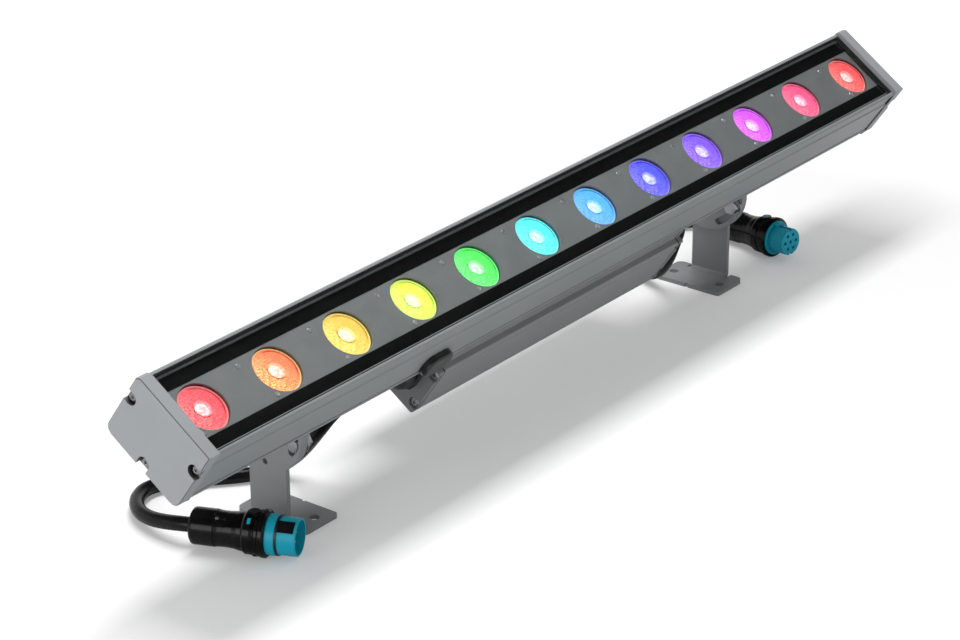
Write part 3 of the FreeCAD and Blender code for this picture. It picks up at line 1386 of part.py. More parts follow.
def cord_points(side, route, place):
    """The whole route, from the gland nut's mouth to the cable nut's mouth."""
    up = GLAND_UP - PIVOT_UP
    back = GLAND_BACK - PIVOT_BACK
    level = Vector(0, up * PLATE_COSINE + back * PLATE_SINE,
                   up * PLATE_SINE - back * PLATE_COSINE)
    seat = PIVOT + level + Vector(side * (gland_tip_x() - CORD_SEAT_DEPTH), 0, 0)
    lead = seat + Vector(side * GLAND_LEAD, 0, 0)
    exit_point = connector_point(place, -CABLE_LEAD)
    end = connector_point(place, CORD_SEAT_DEPTH)
    return [seat, lead] + [Vector(*point) for point in route] + [exit_point, end]


def cord_path(points):
    """Path through the route: each corner is an arc as large as its two runs allow."""
    edges = []
    last = points[0]
    length = 0.0
    radii = []
    for i in range(1, len(points) - 1):
        back = points[i - 1] - points[i]
        ahead = points[i + 1] - points[i]
        shorter = min(back.Length, ahead.Length)
        back.normalize()
        ahead.normalize()
        half = back.getAngle(ahead) / 2
        turn = math.pi - 2 * half
        setback = ARC_SHARE * shorter
        radius = setback / math.tan(turn / 2)
        start = points[i] + back * setback
        end = points[i] + ahead * setback
        bisector = (back + ahead).normalize()
        middle = points[i] + bisector * (radius / math.cos(turn / 2) - radius)
        edges.append(Part.LineSegment(last, start).toShape())
        edges.append(Part.Arc(start, middle, end).toShape())
        length += last.distanceToPoint(start) + radius * turn
        radii.append(round(radius, 1))
        last = end
    edges.append(Part.LineSegment(last, points[-1]).toShape())
    length += last.distanceToPoint(points[-1])
    return Part.Wire(edges), length, radii


def make_cord(name, points):
    path, length, radii = cord_path(points)
    direction = points[1] - points[0]
    circle = Part.Wire(Part.makeCircle(CORD_RADIUS, points[0], direction))
    tube = path.makePipeShell([circle], True, False)
    expected = math.pi * CORD_RADIUS ** 2 * length
    runs = [round(points[i].distanceToPoint(points[i + 1]), 1)
            for i in range(len(points) - 1)]
    print(name, "length", round(length, 1), "radii", radii, "runs", runs)
    print(name, "volume over section times length", round(tube.Volume / expected, 4))
    save(name, tube)


make_bar()
make_caps()
make_box()
make_feet()
make_connectors()
make_cord("cord_left", cord_points(-1, CORD_LEFT_ROUTE, PLUG_PLACE))
make_cord("cord_right", cord_points(1, CORD_RIGHT_ROUTE, SOCKET_PLACE))
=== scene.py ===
import bmesh
import bpy
import colorsys
import math

from mathutils import Matrix, Vector


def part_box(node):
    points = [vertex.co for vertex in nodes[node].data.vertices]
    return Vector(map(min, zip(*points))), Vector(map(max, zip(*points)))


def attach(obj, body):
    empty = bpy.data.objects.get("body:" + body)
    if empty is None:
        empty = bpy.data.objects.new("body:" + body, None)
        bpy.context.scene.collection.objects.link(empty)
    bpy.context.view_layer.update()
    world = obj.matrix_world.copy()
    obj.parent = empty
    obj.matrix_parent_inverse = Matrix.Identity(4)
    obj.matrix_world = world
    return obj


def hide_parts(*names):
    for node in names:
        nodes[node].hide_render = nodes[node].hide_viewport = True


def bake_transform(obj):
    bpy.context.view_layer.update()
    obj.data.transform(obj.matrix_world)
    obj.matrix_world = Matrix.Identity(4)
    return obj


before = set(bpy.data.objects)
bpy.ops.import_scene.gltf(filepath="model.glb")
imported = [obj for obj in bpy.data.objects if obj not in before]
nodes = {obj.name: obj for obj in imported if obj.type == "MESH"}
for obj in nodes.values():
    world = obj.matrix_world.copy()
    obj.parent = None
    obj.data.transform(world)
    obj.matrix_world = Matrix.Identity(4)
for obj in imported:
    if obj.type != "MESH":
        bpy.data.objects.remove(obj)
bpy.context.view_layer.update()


# ---- Camera and studio.
# A long lens looks down along the light from its left end. A white cyclorama stands
# all round, a long softbox hangs overhead and a weaker one stands at the left. Shiny
# faces see the white horizon and, above it, the studio's dark ceiling.
CAMERA_PLACE = Vector((-1.9255, -1.4314, 1.1568))
CAMERA_LOOK = Vector((0.7202, 0.5586, -0.4114))
CAMERA_RIGHT = Vector((0.6114, -0.7913, -0.004))
CAMERA_LENS = 113.2
CAMERA_SENSOR = 36.0
CAMERA_REACH = 100.0
FLOOR_SIZE = 30.0
FLOOR_ALBEDO = 0.82
FLOOR_ROUGHNESS = 0.9
FLOOR_GLOSS = 0.1
FLOOR_LIFT = 0.2
FLOOR_FAR_LIFT = 0.8
FLOOR_NEAR = 0.6
FLOOR_FAR = 1.3
WORLD_LEVEL = 0.46
CEILING_LEVEL = 0.02
HORIZON_TOP = 0.3
CEILING_START = 0.52
SOFTBOX_PLACE = (-0.1, 0.05, 1.7)
SOFTBOX_SIZE = (1.3, 0.42)
SOFTBOX_POWER = 20.0
FILL_PLACE = (-1.25, 0.05, 0.32)
FILL_SIZE = (0.5, 0.45)
FILL_POWER = 2.6
FILL_TARGET = (-0.4, 0.0, 0.15)
WHITE = (1.0, 1.0, 1.0, 1.0)


def link_new(name, data):
    made = bpy.data.objects.new(name, data)
    bpy.context.scene.collection.objects.link(made)
    return made


camera_data = bpy.data.cameras.new("camera")
camera_data.lens = CAMERA_LENS
camera_data.sensor_width = CAMERA_SENSOR
camera_data.clip_end = CAMERA_REACH
camera = link_new("camera", camera_data)
look = CAMERA_LOOK.normalized()
right = (CAMERA_RIGHT - look * CAMERA_RIGHT.dot(look)).normalized()
axes = Matrix((right, right.cross(look), -look)).transposed()
camera.matrix_world = Matrix.Translation(CAMERA_PLACE) @ axes.to_4x4()
bpy.context.scene.camera = camera
bpy.context.scene.view_settings.view_transform = "Standard"


def any_of(tree, sockets):
    """1 where any of the given 0 or 1 sockets is 1."""
    last = sockets[0]
    for socket in sockets[1:]:
        either = tree.nodes.new("ShaderNodeMath")
        either.operation = "MAXIMUM"
        tree.links.new(last, either.inputs[0])
        tree.links.new(socket, either.inputs[1])
        last = either.outputs[0]
    return last


def make_world():
    """A white background; the light is set apart for plain and for shiny surfaces."""
    world = bpy.data.worlds.new("studio")
    world.use_nodes = True
    tree = world.node_tree
    background = tree.nodes["Background"]
    background.inputs["Color"].default_value = WHITE
    path = tree.nodes.new("ShaderNodeLightPath")
    mirrored = any_of(tree, [path.outputs["Is Glossy Ray"],
                             path.outputs["Is Transmission Ray"]])
    coords = tree.nodes.new("ShaderNodeTexCoord")
    split = tree.nodes.new("ShaderNodeSeparateXYZ")
    tree.links.new(coords.outputs["Generated"], split.inputs["Vector"])
    height = tree.nodes.new("ShaderNodeMapRange")
    height.inputs["From Min"].default_value = HORIZON_TOP
    height.inputs["From Max"].default_value = CEILING_START
    height.inputs["To Min"].default_value = 1.0
    height.inputs["To Max"].default_value = CEILING_LEVEL
    tree.links.new(split.outputs["Z"], height.inputs["Value"])
    shiny = tree.nodes.new("ShaderNodeMix")
    shiny.inputs[2].default_value = WORLD_LEVEL
    tree.links.new(mirrored, shiny.inputs[0])
    tree.links.new(height.outputs["Result"], shiny.inputs[3])
    level = tree.nodes.new("ShaderNodeMix")
    level.inputs[3].default_value = 1.0
    tree.links.new(path.outputs["Is Camera Ray"], level.inputs[0])
    tree.links.new(shiny.outputs[0], level.inputs[2])
    tree.links.new(level.outputs[0], background.inputs["Strength"])
    bpy.context.scene.world = world


def make_floor():
    """A pale floor that fades into the white background away from the lamp."""
    mesh = bpy.data.meshes.new("floor")
    half = FLOOR_SIZE / 2
    corners = [(-half, -half, 0), (half, -half, 0), (half, half, 0), (-half, half, 0)]
    mesh.from_pydata(corners, [], [(0, 1, 2, 3)])
    floor = link_new("floor", mesh)
    mat = bpy.data.materials.new("studio_floor")
    mat.use_nodes = True
    tree = mat.node_tree
    shader = tree.nodes["Principled BSDF"]
    shader.inputs["Base Color"].default_value = (FLOOR_ALBEDO, FLOOR_ALBEDO, FLOOR_ALBEDO, 1)
    shader.inputs["Roughness"].default_value = FLOOR_ROUGHNESS
    shader.inputs["Specular IOR Level"].default_value = FLOOR_GLOSS
    shader.inputs["Emission Color"].default_value = WHITE
    path = tree.nodes.new("ShaderNodeLightPath")
    seen = any_of(tree, [path.outputs["Is Camera Ray"],
                         path.outputs["Is Transmission Ray"]])
    coords = tree.nodes.new("ShaderNodeTexCoord")
    reach = tree.nodes.new("ShaderNodeVectorMath")
    reach.operation = "LENGTH"
    tree.links.new(coords.outputs["Object"], reach.inputs[0])
    amount = tree.nodes.new("ShaderNodeMapRange")
    amount.inputs["From Min"].default_value = FLOOR_NEAR
    amount.inputs["From Max"].default_value = FLOOR_FAR
    amount.inputs["To Min"].default_value = FLOOR_LIFT
    amount.inputs["To Max"].default_value = FLOOR_FAR_LIFT
    tree.links.new(reach.outputs["Value"], amount.inputs["Value"])
    lift = tree.nodes.new("ShaderNodeMath")
    lift.operation = "MULTIPLY"
    tree.links.new(amount.outputs["Result"], lift.inputs[1])
    tree.links.new(seen, lift.inputs[0])
    tree.links.new(lift.outputs[0], shader.inputs["Emission Strength"])
    mesh.materials.append(mat)


def make_softbox(name, place, size, power, target):
    """A rectangular lamp that faces its target."""
    data = bpy.data.lights.new(name, "AREA")
    data.shape = "RECTANGLE"
    data.size = size[0]
    data.size_y = size[1]
    data.energy = power
    lamp = link_new(name, data)
    lamp.location = place
    lamp.visible_camera = False
    aim = (Vector(target) - Vector(place)).normalized()
    lamp.rotation_euler = aim.to_track_quat("-Z", "Y").to_euler()


make_world()
make_floor()
make_softbox("softbox", SOFTBOX_PLACE, SOFTBOX_SIZE, SOFTBOX_POWER,
             (SOFTBOX_PLACE[0], SOFTBOX_PLACE[1], 0.0))
make_softbox("fill", FILL_PLACE, FILL_SIZE, FILL_POWER, FILL_TARGET)


# ---- Cords.
# Two short round rubber cables, 12.5 mm thick. Each leaves a gland on an end of the power
# box, drops to the floor, loops round behind its foot and runs into its connector.
CORD_DIAMETER = 0.0125
CORD_BEVEL_STEPS = 6
CORD_SPLINE_ORDER = 3
CORD_SPLINE_STEPS = 12
CORD_SEAM = 1e-6
CORD_SHARP_ANGLE = math.radians(50)
CORD_LEFT_ROUTE = [
    (-0.1930, 0.00068, 0.09516), (-0.2130, 0.00068, 0.09516), (-0.236, 0.006, 0.092),
    (-0.251, 0.018, 0.078), (-0.255, 0.033, 0.056), (-0.251, 0.049, 0.037),
    (-0.250, 0.065, 0.020), (-0.258, 0.080, 0.0085), (-0.276, 0.092, 0.0065),
    (-0.297, 0.111, 0.0064), (-0.320, 0.131, 0.0068), (-0.345, 0.143, 0.0078),
    (-0.368, 0.134, 0.0086), (-0.384, 0.115, 0.0102), (-0.390, 0.096, 0.0124),
    (-0.3915, 0.077, 0.0162), (-0.3902, 0.05933, 0.0198), (-0.3846, 0.0465, 0.0198),
]
CORD_RIGHT_ROUTE = [
    (0.1930, 0.00068, 0.09516), (0.2130, 0.00068, 0.09516), (0.231, 0.006, 0.084),
    (0.238, 0.017, 0.062), (0.247, 0.030, 0.038), (0.257, 0.048, 0.017),
    (0.267, 0.072, 0.0075), (0.281, 0.095, 0.0064), (0.299, 0.115, 0.0064),
    (0.322, 0.128, 0.0064), (0.347, 0.133, 0.0064), (0.370, 0.129, 0.0065),
    (0.390, 0.119, 0.007), (0.402, 0.106, 0.0082), (0.405, 0.090, 0.012),
    (0.40415, 0.07279, 0.01565), (0.40196, 0.05898, 0.0165),
]


def new_finish(name, colour, roughness):
    """A material with its shader's plain colour and roughness set."""
    mat = bpy.data.materials.new(name)
    mat.use_nodes = True
    shader = mat.node_tree.nodes["Principled BSDF"]
    shader.inputs["Base Color"].default_value = (*colour, 1.0)
    shader.inputs["Roughness"].default_value = roughness
    return mat, mat.node_tree, shader


def noise(tree, scale, detail=2.0, stretch=(1.0, 1.0, 1.0)):
    """Noise over the piece's own coordinates, in metres, at a scale per metre."""
    coords = tree.nodes.new("ShaderNodeTexCoord")
    mapping = tree.nodes.new("ShaderNodeMapping")
    mapping.inputs["Scale"].default_value = stretch
    field = tree.nodes.new("ShaderNodeTexNoise")
    field.inputs["Scale"].default_value = scale
    field.inputs["Detail"].default_value = detail
    tree.links.new(coords.outputs["Object"], mapping.inputs["Vector"])
    tree.links.new(mapping.outputs["Vector"], field.inputs["Vector"])
    return field.outputs["Fac"]


def spread(tree, value, low, high, from_low=0.3, from_high=0.7):
    """Maps a noise value to a range."""
    span = tree.nodes.new("ShaderNodeMapRange")
    span.inputs["From Min"].default_value = from_low
    span.inputs["From Max"].default_value = from_high
    span.inputs["To Min"].default_value = low
    span.inputs["To Max"].default_value = high
    tree.links.new(value, span.inputs["Value"])
    return span.outputs["Result"]


def blend_colours(tree, share, first, second):
    """Mix of two colours by a 0 to 1 socket; each is a colour or a socket."""
    mix = tree.nodes.new("ShaderNodeMix")
    mix.data_type = "RGBA"
    mix.clamp_factor = True
    tree.links.new(share, mix.inputs[0])
    for socket, colour in ((mix.inputs[6], first), (mix.inputs[7], second)):
        if isinstance(colour, tuple):
            socket.default_value = (*colour, 1.0)
        else:
            tree.links.new(colour, socket)
    return mix.outputs[2]


def bump(tree, shader, height, distance, strength, under=None):
    """Relief from a height value; under is a normal that it lies on."""
    relief = tree.nodes.new("ShaderNodeBump")
    relief.inputs["Strength"].default_value = strength
    relief.inputs["Distance"].default_value = distance
    tree.links.new(height, relief.inputs["Height"])
    if under is not None:
        tree.links.new(under, relief.inputs["Normal"])
    tree.links.new(relief.outputs["Normal"], shader.inputs["Normal"])


def rubber(name, colour, roughness, grain, relief, gloss=0.25):
    """Moulded black rubber: a fine skin grain and a slightly uneven gloss."""
    mat, tree, shader = new_finish(name, colour, roughness)
    shader.inputs["Specular IOR Level"].default_value = gloss
    fine = noise(tree, grain, 3.0)
    broad = noise(tree, 40.0, 2.0)
    lighter = tuple(min(1.0, c * 1.5 + 0.004) for c in colour)
    tree.links.new(blend_colours(tree, spread(tree, broad, 0.0, 1.0), colour, lighter),
                   shader.inputs["Base Color"])
    tree.links.new(spread(tree, fine, roughness - 0.06, roughness + 0.1),
                   shader.inputs["Roughness"])
    bump(tree, shader, fine, 0.0002, relief)
    return mat


cord_rubber = rubber("cord_rubber", (0.002, 0.002, 0.0025), 0.24, 900.0, 0.05, gloss=0.16)


def cord_curve(name, route, thickness):
    """One smooth curve with the route as its control points, swept into a round tube of the given
    thickness; with none it is a bare line.
    """
    curve = bpy.data.curves.new(name, "CURVE")
    curve.dimensions = "3D"
    curve.bevel_depth = thickness / 2
    curve.bevel_resolution = CORD_BEVEL_STEPS
    curve.use_fill_caps = thickness > 0
    spline = curve.splines.new("NURBS")
    spline.points.add(len(route) - 1)
    for point, place in zip(spline.points, route):
        point.co = (*place, 1.0)
    spline.order_u = CORD_SPLINE_ORDER
    spline.use_endpoint_u = True
    spline.resolution_u = CORD_SPLINE_STEPS
    return curve


def curve_mesh(curve):
    """The curve as a plain mesh, with the seams of its end caps closed."""
    seed = link_new("cord_seed", curve)
    graph = bpy.context.evaluated_depsgraph_get()
    mesh = bpy.data.meshes.new_from_object(seed.evaluated_get(graph))
    bpy.data.objects.remove(seed)
    form = bmesh.new()
    form.from_mesh(mesh)
    bmesh.ops.remove_doubles(form, verts=form.verts, dist=CORD_SEAM)
    bmesh.ops.recalc_face_normals(form, faces=form.faces)
    form.to_mesh(mesh)
    form.free()
    return mesh


def make_cord(name, node, route):
    """A rubber cable along the route that stands in for a hidden CAD cord."""
    line = curve_mesh(cord_curve(name + "_line", route, 0.0))
    mesh = curve_mesh(cord_curve(name, route, CORD_DIAMETER))
    mesh.materials.clear()
    mesh.materials.append(cord_rubber)
    mesh.shade_smooth()
    mesh.set_sharp_from_angle(angle=CORD_SHARP_ANGLE)
    cord = link_new(name, mesh)
    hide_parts(node)
    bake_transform(cord)


make_cord("cable_left", "cord_left", CORD_LEFT_ROUTE)
make_cord("cable_right", "cord_right", CORD_RIGHT_ROUTE)


# ---- Connectors.
# A round plug and a round socket in glossy black plastic, each with a cable nut, a body,
# a lock ring that turns, and a blue-green insert that carries brass contacts.


def dress(names, mat):
    """Gives carried CAD nodes a finish."""
    for name in names:
        node = nodes[name]
        node.data.materials.clear()
        node.data.materials.append(mat)


BEVEL_SAMPLES = 6
MOULDED_EDGE = 0.0004
METAL_EDGE = 0.0003


def soft_edges(tree, radius):
    """A normal that rounds the piece's edges, and how near the edge each point is, which the
    finishes use as a mask for a painted highlight.
    """
    bevel = tree.nodes.new("ShaderNodeBevel")
    bevel.samples = BEVEL_SAMPLES
    bevel.inputs["Radius"].default_value = radius
    geometry = tree.nodes.new("ShaderNodeNewGeometry")
    compare = tree.nodes.new("ShaderNodeVectorMath")
    compare.operation = "DOT_PRODUCT"
    tree.links.new(bevel.outputs["Normal"], compare.inputs[0])
    tree.links.new(geometry.outputs["Normal"], compare.inputs[1])
    near = spread(tree, compare.outputs["Value"], 1.0, 0.0, 0.8, 0.99)
    return bevel.outputs["Normal"], near


def moulded(name, colour, roughness, grain=1200.0, relief=0.12, gloss=0.5):
    """Injection-moulded plastic: a fine skin, rounded edges painted paler as a highlight, and
    faint handling gloss.
    """
    mat, tree, shader = new_finish(name, colour, roughness)
    normal, near = soft_edges(tree, MOULDED_EDGE)
    fine = noise(tree, grain, 3.0)
    broad = noise(tree, 55.0, 3.0)
    paler = tuple(min(1.0, c * 1.25 + 0.01) for c in colour)
    tone = blend_colours(tree, spread(tree, broad, 0.0, 0.45), colour, paler)
    # Painted highlight: the edges are blended half way towards the paler tone.
    tree.links.new(blend_colours(tree, spread(tree, near, 0.0, 0.5, 0.0, 1.0), tone, paler),
                   shader.inputs["Base Color"])
    tree.links.new(spread(tree, broad, roughness - 0.05, roughness + 0.07),
                   shader.inputs["Roughness"])
    shader.inputs["Specular IOR Level"].default_value = gloss
    bump(tree, shader, fine, 0.0001, relief, normal)
    return mat


connector_black = moulded("connector_black", (0.0015, 0.0015, 0.002), 0.15, 800.0, 0.05,
                          gloss=0.16)
insert_teal = moulded("insert_teal", (0.0005, 0.36, 0.5), 0.4, 700.0, 0.1, gloss=0.3)


def bright_metal(name, colour, roughness, stretch=(1.0, 1.0, 1.0)):
    """Plated or bare metal with fine drawn lines, a slightly cloudy shine and edges painted much
    paler as a highlight.
    """
    mat, tree, shader = new_finish(name, colour, roughness)
    shader.inputs["Metallic"].default_value = 1.0
    normal, near = soft_edges(tree, METAL_EDGE)
    lines = noise(tree, 900.0, 4.0, stretch)
    cloud = noise(tree, 70.0, 3.0)
    darker = tuple(c * 0.78 for c in colour)
    painted_edge_highlight = tuple(min(1.0, c * 1.6 + 0.15) for c in colour)
    tone = blend_colours(tree, spread(tree, cloud, 0.0, 1.0), darker, colour)
    # Painted highlight: the edges are blended towards a much paler tone.
    tree.links.new(blend_colours(tree, spread(tree, near, 0.0, 0.9, 0.0, 1.0), tone, painted_edge_highlight),
                   shader.inputs["Base Color"])
    tree.links.new(spread(tree, lines, roughness - 0.08, roughness + 0.12),
                   shader.inputs["Roughness"])
    bump(tree, shader, lines, 0.0001, 0.15, normal)
    return mat


contact_brass = bright_metal("contact_brass", (0.78, 0.55, 0.24), 0.28)
dress(["plug_nut", "plug_body", "plug_ring", "socket_nut", "socket_body", "socket_ring"],
      connector_black)
dress(["plug_insert", "socket_insert"], insert_teal)
dress(["plug_pins"], contact_brass)
seal_rubber = rubber("seal_rubber", (0.01, 0.01, 0.011), 0.6, 1500.0, 0.3)


SEAL_BLACK = (0.006, 0.006, 0.006)
SEAL_TEAL = (0.0005, 0.3, 0.42)


def make_face_seal_finish():
    """The plug's face seal is black and the socket's is moulded in the insert's colour."""
    mat, tree, shader = new_finish("face_seal", SEAL_BLACK, 0.45)
    coords = tree.nodes.new("ShaderNodeTexCoord")
    split = tree.nodes.new("ShaderNodeSeparateXYZ")
    tree.links.new(coords.outputs["Object"], split.inputs["Vector"])
    right_end = spread(tree, split.outputs["X"], 0.0, 1.0, -0.01, 0.01)
    tree.links.new(blend_colours(tree, right_end, SEAL_BLACK, SEAL_TEAL),
                   shader.inputs["Base Color"])
    tree.links.new(spread(tree, noise(tree, 400.0), 0.38, 0.5), shader.inputs["Roughness"])
    return mat


dress(["face_seals"], make_face_seal_finish())
PLUG_PLACE = Matrix.Translation((-0.387, 0.052, 0.0198)) @ \
    Matrix.Rotation(math.radians(-66.4), 4, "Z")
SOCKET_PLACE = Matrix.Translation((0.4029, 0.0649, 0.01614)) @ \
    Matrix.Rotation(math.radians(-99.0), 4, "Z") @ Matrix.Rotation(math.radians(-3.5), 4, "Y")
PAD_STEPS = 10
# Name, connector, ends on its axis, inner and outer radius, angle, half angle, body, finish, slot.
PADS = [
    ("plug_key_pad", PLUG_PLACE, (0.0740, 0.0872), (0.0152, 0.0161), 125.0, 19.0,
     "base", connector_black, "connector_black"),
    ("plug_ring_window", PLUG_PLACE, (0.0490, 0.0518), (0.0178, 0.01845), 124.0, 8.0,
     "ring_plug", insert_teal, "insert_teal"),
    ("socket_key_pad", SOCKET_PLACE, (0.0645, 0.0686), (0.0128, 0.0158), 92.0, 17.0,
     "base", insert_teal, "insert_teal"),
    ("socket_ring_window", SOCKET_PLACE, (0.0510, 0.0540), (0.0185, 0.0198), 90.0, 6.0,
     "ring_socket", insert_teal, "insert_teal"),
]


def curved_pad(name, place, along, radii, angle, half_angle, body, mat, slot):
    """A pad that follows a connector's round side; angle 90 degrees is its top."""
    form = bmesh.new()
    rows = []
    for i in range(PAD_STEPS + 1):
        turn = math.radians(angle + half_angle * (2 * i / PAD_STEPS - 1))
        across = Vector((0, math.cos(turn), math.sin(turn)))
        rows.append([form.verts.new(across * radius + Vector((start, 0, 0)))
                     for start, radius in ((along[0], radii[0]), (along[1], radii[0]),
                                           (along[1], radii[1]), (along[0], radii[1]))])
    for row, following in zip(rows, rows[1:]):
        for i in range(4):
            j = (i + 1) % 4
            form.faces.new((row[i], row[j], following[j], following[i]))
    form.faces.new(rows[0])
    form.faces.new(tuple(reversed(rows[-1])))
    bmesh.ops.recalc_face_normals(form, faces=form.faces)
    mesh = bpy.data.meshes.new(name)
    form.to_mesh(mesh)
    form.free()
    mesh.transform(place)
    mesh.materials.append(mat)
    pad = link_new(name, mesh)
    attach(pad, body)


for pad_values in PADS:
    curved_pad(*pad_values)


# ---- Housing.
# One extruded aluminium trough, 82.8 mm wide, with a coved band, a step and a groove along
# each side, powder coated in satin grey. Its front lips hold the glass.


# Painted shade: the sample count and near-black colour used to darken the coat in recesses.
PAINTED_SHADE_SAMPLES = 8
PAINTED_SHADE_BLACK = (0.004, 0.004, 0.004)


def powder_coat(name, colour, roughness, edge=0.0006, painted_shade_reach=0.0):
    """Satin powder coat: orange peel, slow tone drift, edges painted paler as a highlight, and
    optional painted shade that darkens recesses towards black.
    """
    mat, tree, shader = new_finish(name, colour, roughness)
    normal, near = soft_edges(tree, edge)
    peel = noise(tree, 1100.0, 3.0)
    drift = noise(tree, 9.0, 3.0)
    speck = noise(tree, 2600.0, 1.0)
    darker = tuple(c * 0.93 for c in colour)
    paler = tuple(min(1.0, c * 1.06 + 0.004) for c in colour)
    # Painted highlight: the edges are blended towards this paler tone.
    edge_highlight_tone = tuple(min(1.0, c * 1.2 + 0.02) for c in colour)
    tone = blend_colours(tree, spread(tree, drift, 0.0, 1.0), darker, paler)
    tone = blend_colours(tree, spread(tree, speck, 0.0, 0.25), tone, darker)
    tone = blend_colours(tree, spread(tree, near, 0.0, 0.55, 0.0, 1.0), tone, edge_highlight_tone)
    # Painted shade: an ambient-occlusion mask darkens the coat towards black in recesses and
    # between parts.
    if painted_shade_reach > 0:
        painted_shade_mask = tree.nodes.new("ShaderNodeAmbientOcclusion")
        painted_shade_mask.samples = PAINTED_SHADE_SAMPLES
        painted_shade_mask.only_local = True
        painted_shade_mask.inputs["Distance"].default_value = painted_shade_reach
        tone = blend_colours(tree, spread(tree, painted_shade_mask.outputs["AO"], 0.97, 0.0, 0.55, 0.92),
                             tone, PAINTED_SHADE_BLACK)
    tree.links.new(tone, shader.inputs["Base Color"])
    tree.links.new(spread(tree, drift, roughness - 0.04, roughness + 0.06),
                   shader.inputs["Roughness"])
    bump(tree, shader, peel, 0.00012, 0.22, normal)
    return mat


housing_coat = powder_coat("housing_coat", (0.27, 0.29, 0.295), 0.42)
# The caps' coat has painted shade that darkens it near hollows such as the screw notches.
cap_coat = powder_coat("cap_coat", (0.33, 0.345, 0.36), 0.46, painted_shade_reach=0.012)
dress(["housing_profile"], housing_coat)


# ---- End caps.
# Cast plates 12 mm thick that close the bar, chamfered along the front, each held by
# three cross-recessed screws that sit in open notches, over a thin rubber gasket.
dress(["end_cap_left", "end_cap_right"], cap_coat)
dress(["cap_gaskets"], seal_rubber)
screw_steel = bright_metal("screw_steel", (0.3, 0.3, 0.31), 0.3)
dress(["cap_screws"], screw_steel)


# ---- Glass and its seal.
# A clear toughened pane lies behind the front lips in a black rubber channel. Two black
# printed strips hide the edges of the plate below it.


def clear_pane(name):
    """Clear glass that lets the lamps' light through."""
    mat, tree, shader = new_finish(name, (0.97, 0.99, 0.98), 0.015)
    shader.inputs["Transmission Weight"].default_value = 1.0
    shader.inputs["IOR"].default_value = 1.5
    path = tree.nodes.new("ShaderNodeLightPath")
    clear = tree.nodes.new("ShaderNodeBsdfTransparent")
    clear.inputs["Color"].default_value = (0.9, 0.93, 0.92, 1.0)
    pick = tree.nodes.new("ShaderNodeMixShader")
    passing = any_of(tree, [path.outputs["Is Shadow Ray"], path.outputs["Is Diffuse Ray"]])
    tree.links.new(passing, pick.inputs[0])
    tree.links.new(shader.outputs["BSDF"], pick.inputs[1])
    tree.links.new(clear.outputs["BSDF"], pick.inputs[2])
    tree.links.new(pick.outputs["Shader"],
                   tree.nodes["Material Output"].inputs["Surface"])
    return mat


dress(["front_glass"], clear_pane("pane_glass"))
dress(["glass_seal"], seal_rubber)
mask_black, mask_tree, mask_shader = new_finish("mask_black", (0.0012, 0.0012, 0.0014), 0.6)
mask_shader.inputs["Specular IOR Level"].default_value = 0.05
mask_tree.links.new(spread(mask_tree, noise(mask_tree, 60.0), 0.5, 0.65),
                    mask_shader.inputs["Roughness"])
dress(["mask_strips"], mask_black)


# ---- Lens plate.
# A grey satin plate with twelve round windows, on plastic posts, each with a small
# round-headed screw. The lenses stand a little below its face.
plate_grey = moulded("plate_grey", (0.185, 0.185, 0.192), 0.5, 300.0, 0.03)
dress(["lens_plate"], plate_grey)
plate_screw_steel = bright_metal("plate_screw_steel", (0.55, 0.56, 0.57), 0.3)
dress(["plate_screws"], plate_screw_steel)
post_nylon = moulded("post_nylon", (0.6, 0.58, 0.52), 0.5)
dress(["plate_posts"], post_nylon)


# ---- Lenses.
# Twelve clear optics, each lit in its own colour from red through green and blue to red
# again. The front is a field of tiny round lenslets round a bare bright middle.
TILT = math.radians(34.6)
LENS_RADIUS = 0.0212
LENS_DEPTH = 0.020
LENS_REAR_RADIUS = 0.0085
LENS_RIM = 0.0014
LENS_RIM_DROP = 0.0006
LENS_MIDDLE = 0.0066
LENS_PALE_SIDE = (-0.9, -0.42, 0.0)
LENS_GROOVE = 0.0182
LENS_GROOVE_HALF = 0.0006
LENS_GROOVE_SOFT = 0.0004
LENS_RING = 0.0079
LENS_RING_HALF = 0.0007
LENS_RING_SOFT = 0.0006
LENS_CORE = (0.0052, 0.0078)
LENS_RIM_TONE = (0.0197, 0.0204)
LENS_GLOW = 0.6
LENS_COAT = 0.25
LENS_COAT_ROUGHNESS = 0.05
LENS_DISH_TOP = 0.0006
LENS_DISH_DEPTH = 0.0016
LENS_DISH_STEPS = 6
LENS_FLANGE_DEPTH = 0.0028
LENS_WAIST = 0.0029
LENS_BULGE = 0.0022
LENS_SINK = 0.0004
LENS_SHARP_ANGLE = math.radians(35)
LENS_STEPS = 96
LENSLET_PITCH = 0.00125
LENSLET_HEIGHT = 0.3
LENSLET_COVER = 0.52
LENSLET_COLUMNS = 35
LENSLET_ROWS = 21
LENSLET_SEGMENTS = 6
LENSLET_RINGS = 4
LENS_HUES = {
    "lens_01": 0.985, "lens_02": 0.045, "lens_03": 0.115, "lens_04": 0.19,
    "lens_05": 0.345, "lens_06": 0.50, "lens_07": 0.57, "lens_08": 0.665,
    "lens_09": 0.715, "lens_10": 0.80, "lens_11": 0.945, "lens_12": 0.995,
}
# How far the hue turns across a lens, from its main colour to its paler side.
LENS_HUE_TURN = 0.02
LENS_HUE_TURNS = {"lens_02": 0.085, "lens_03": 0.04}


def to_linear(colour):
    return tuple(c ** 2.2 for c in colour)


def lens_place(node):
    """Matrix from a lens's own frame, Z out of its front, to its place in the bar."""
    low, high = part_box(node)
    turn = Matrix.Rotation(TILT, 4, "X")
    middle = (low + high) / 2
    local = [turn.inverted() @ (v.co - middle) for v in nodes[node].data.vertices]
    front = max(v.z for v in local)
    sides = [v.y for v in local]
    centre = turn @ Vector((0, (min(sides) + max(sides)) / 2, front))
    return Matrix.Translation(middle + centre) @ turn


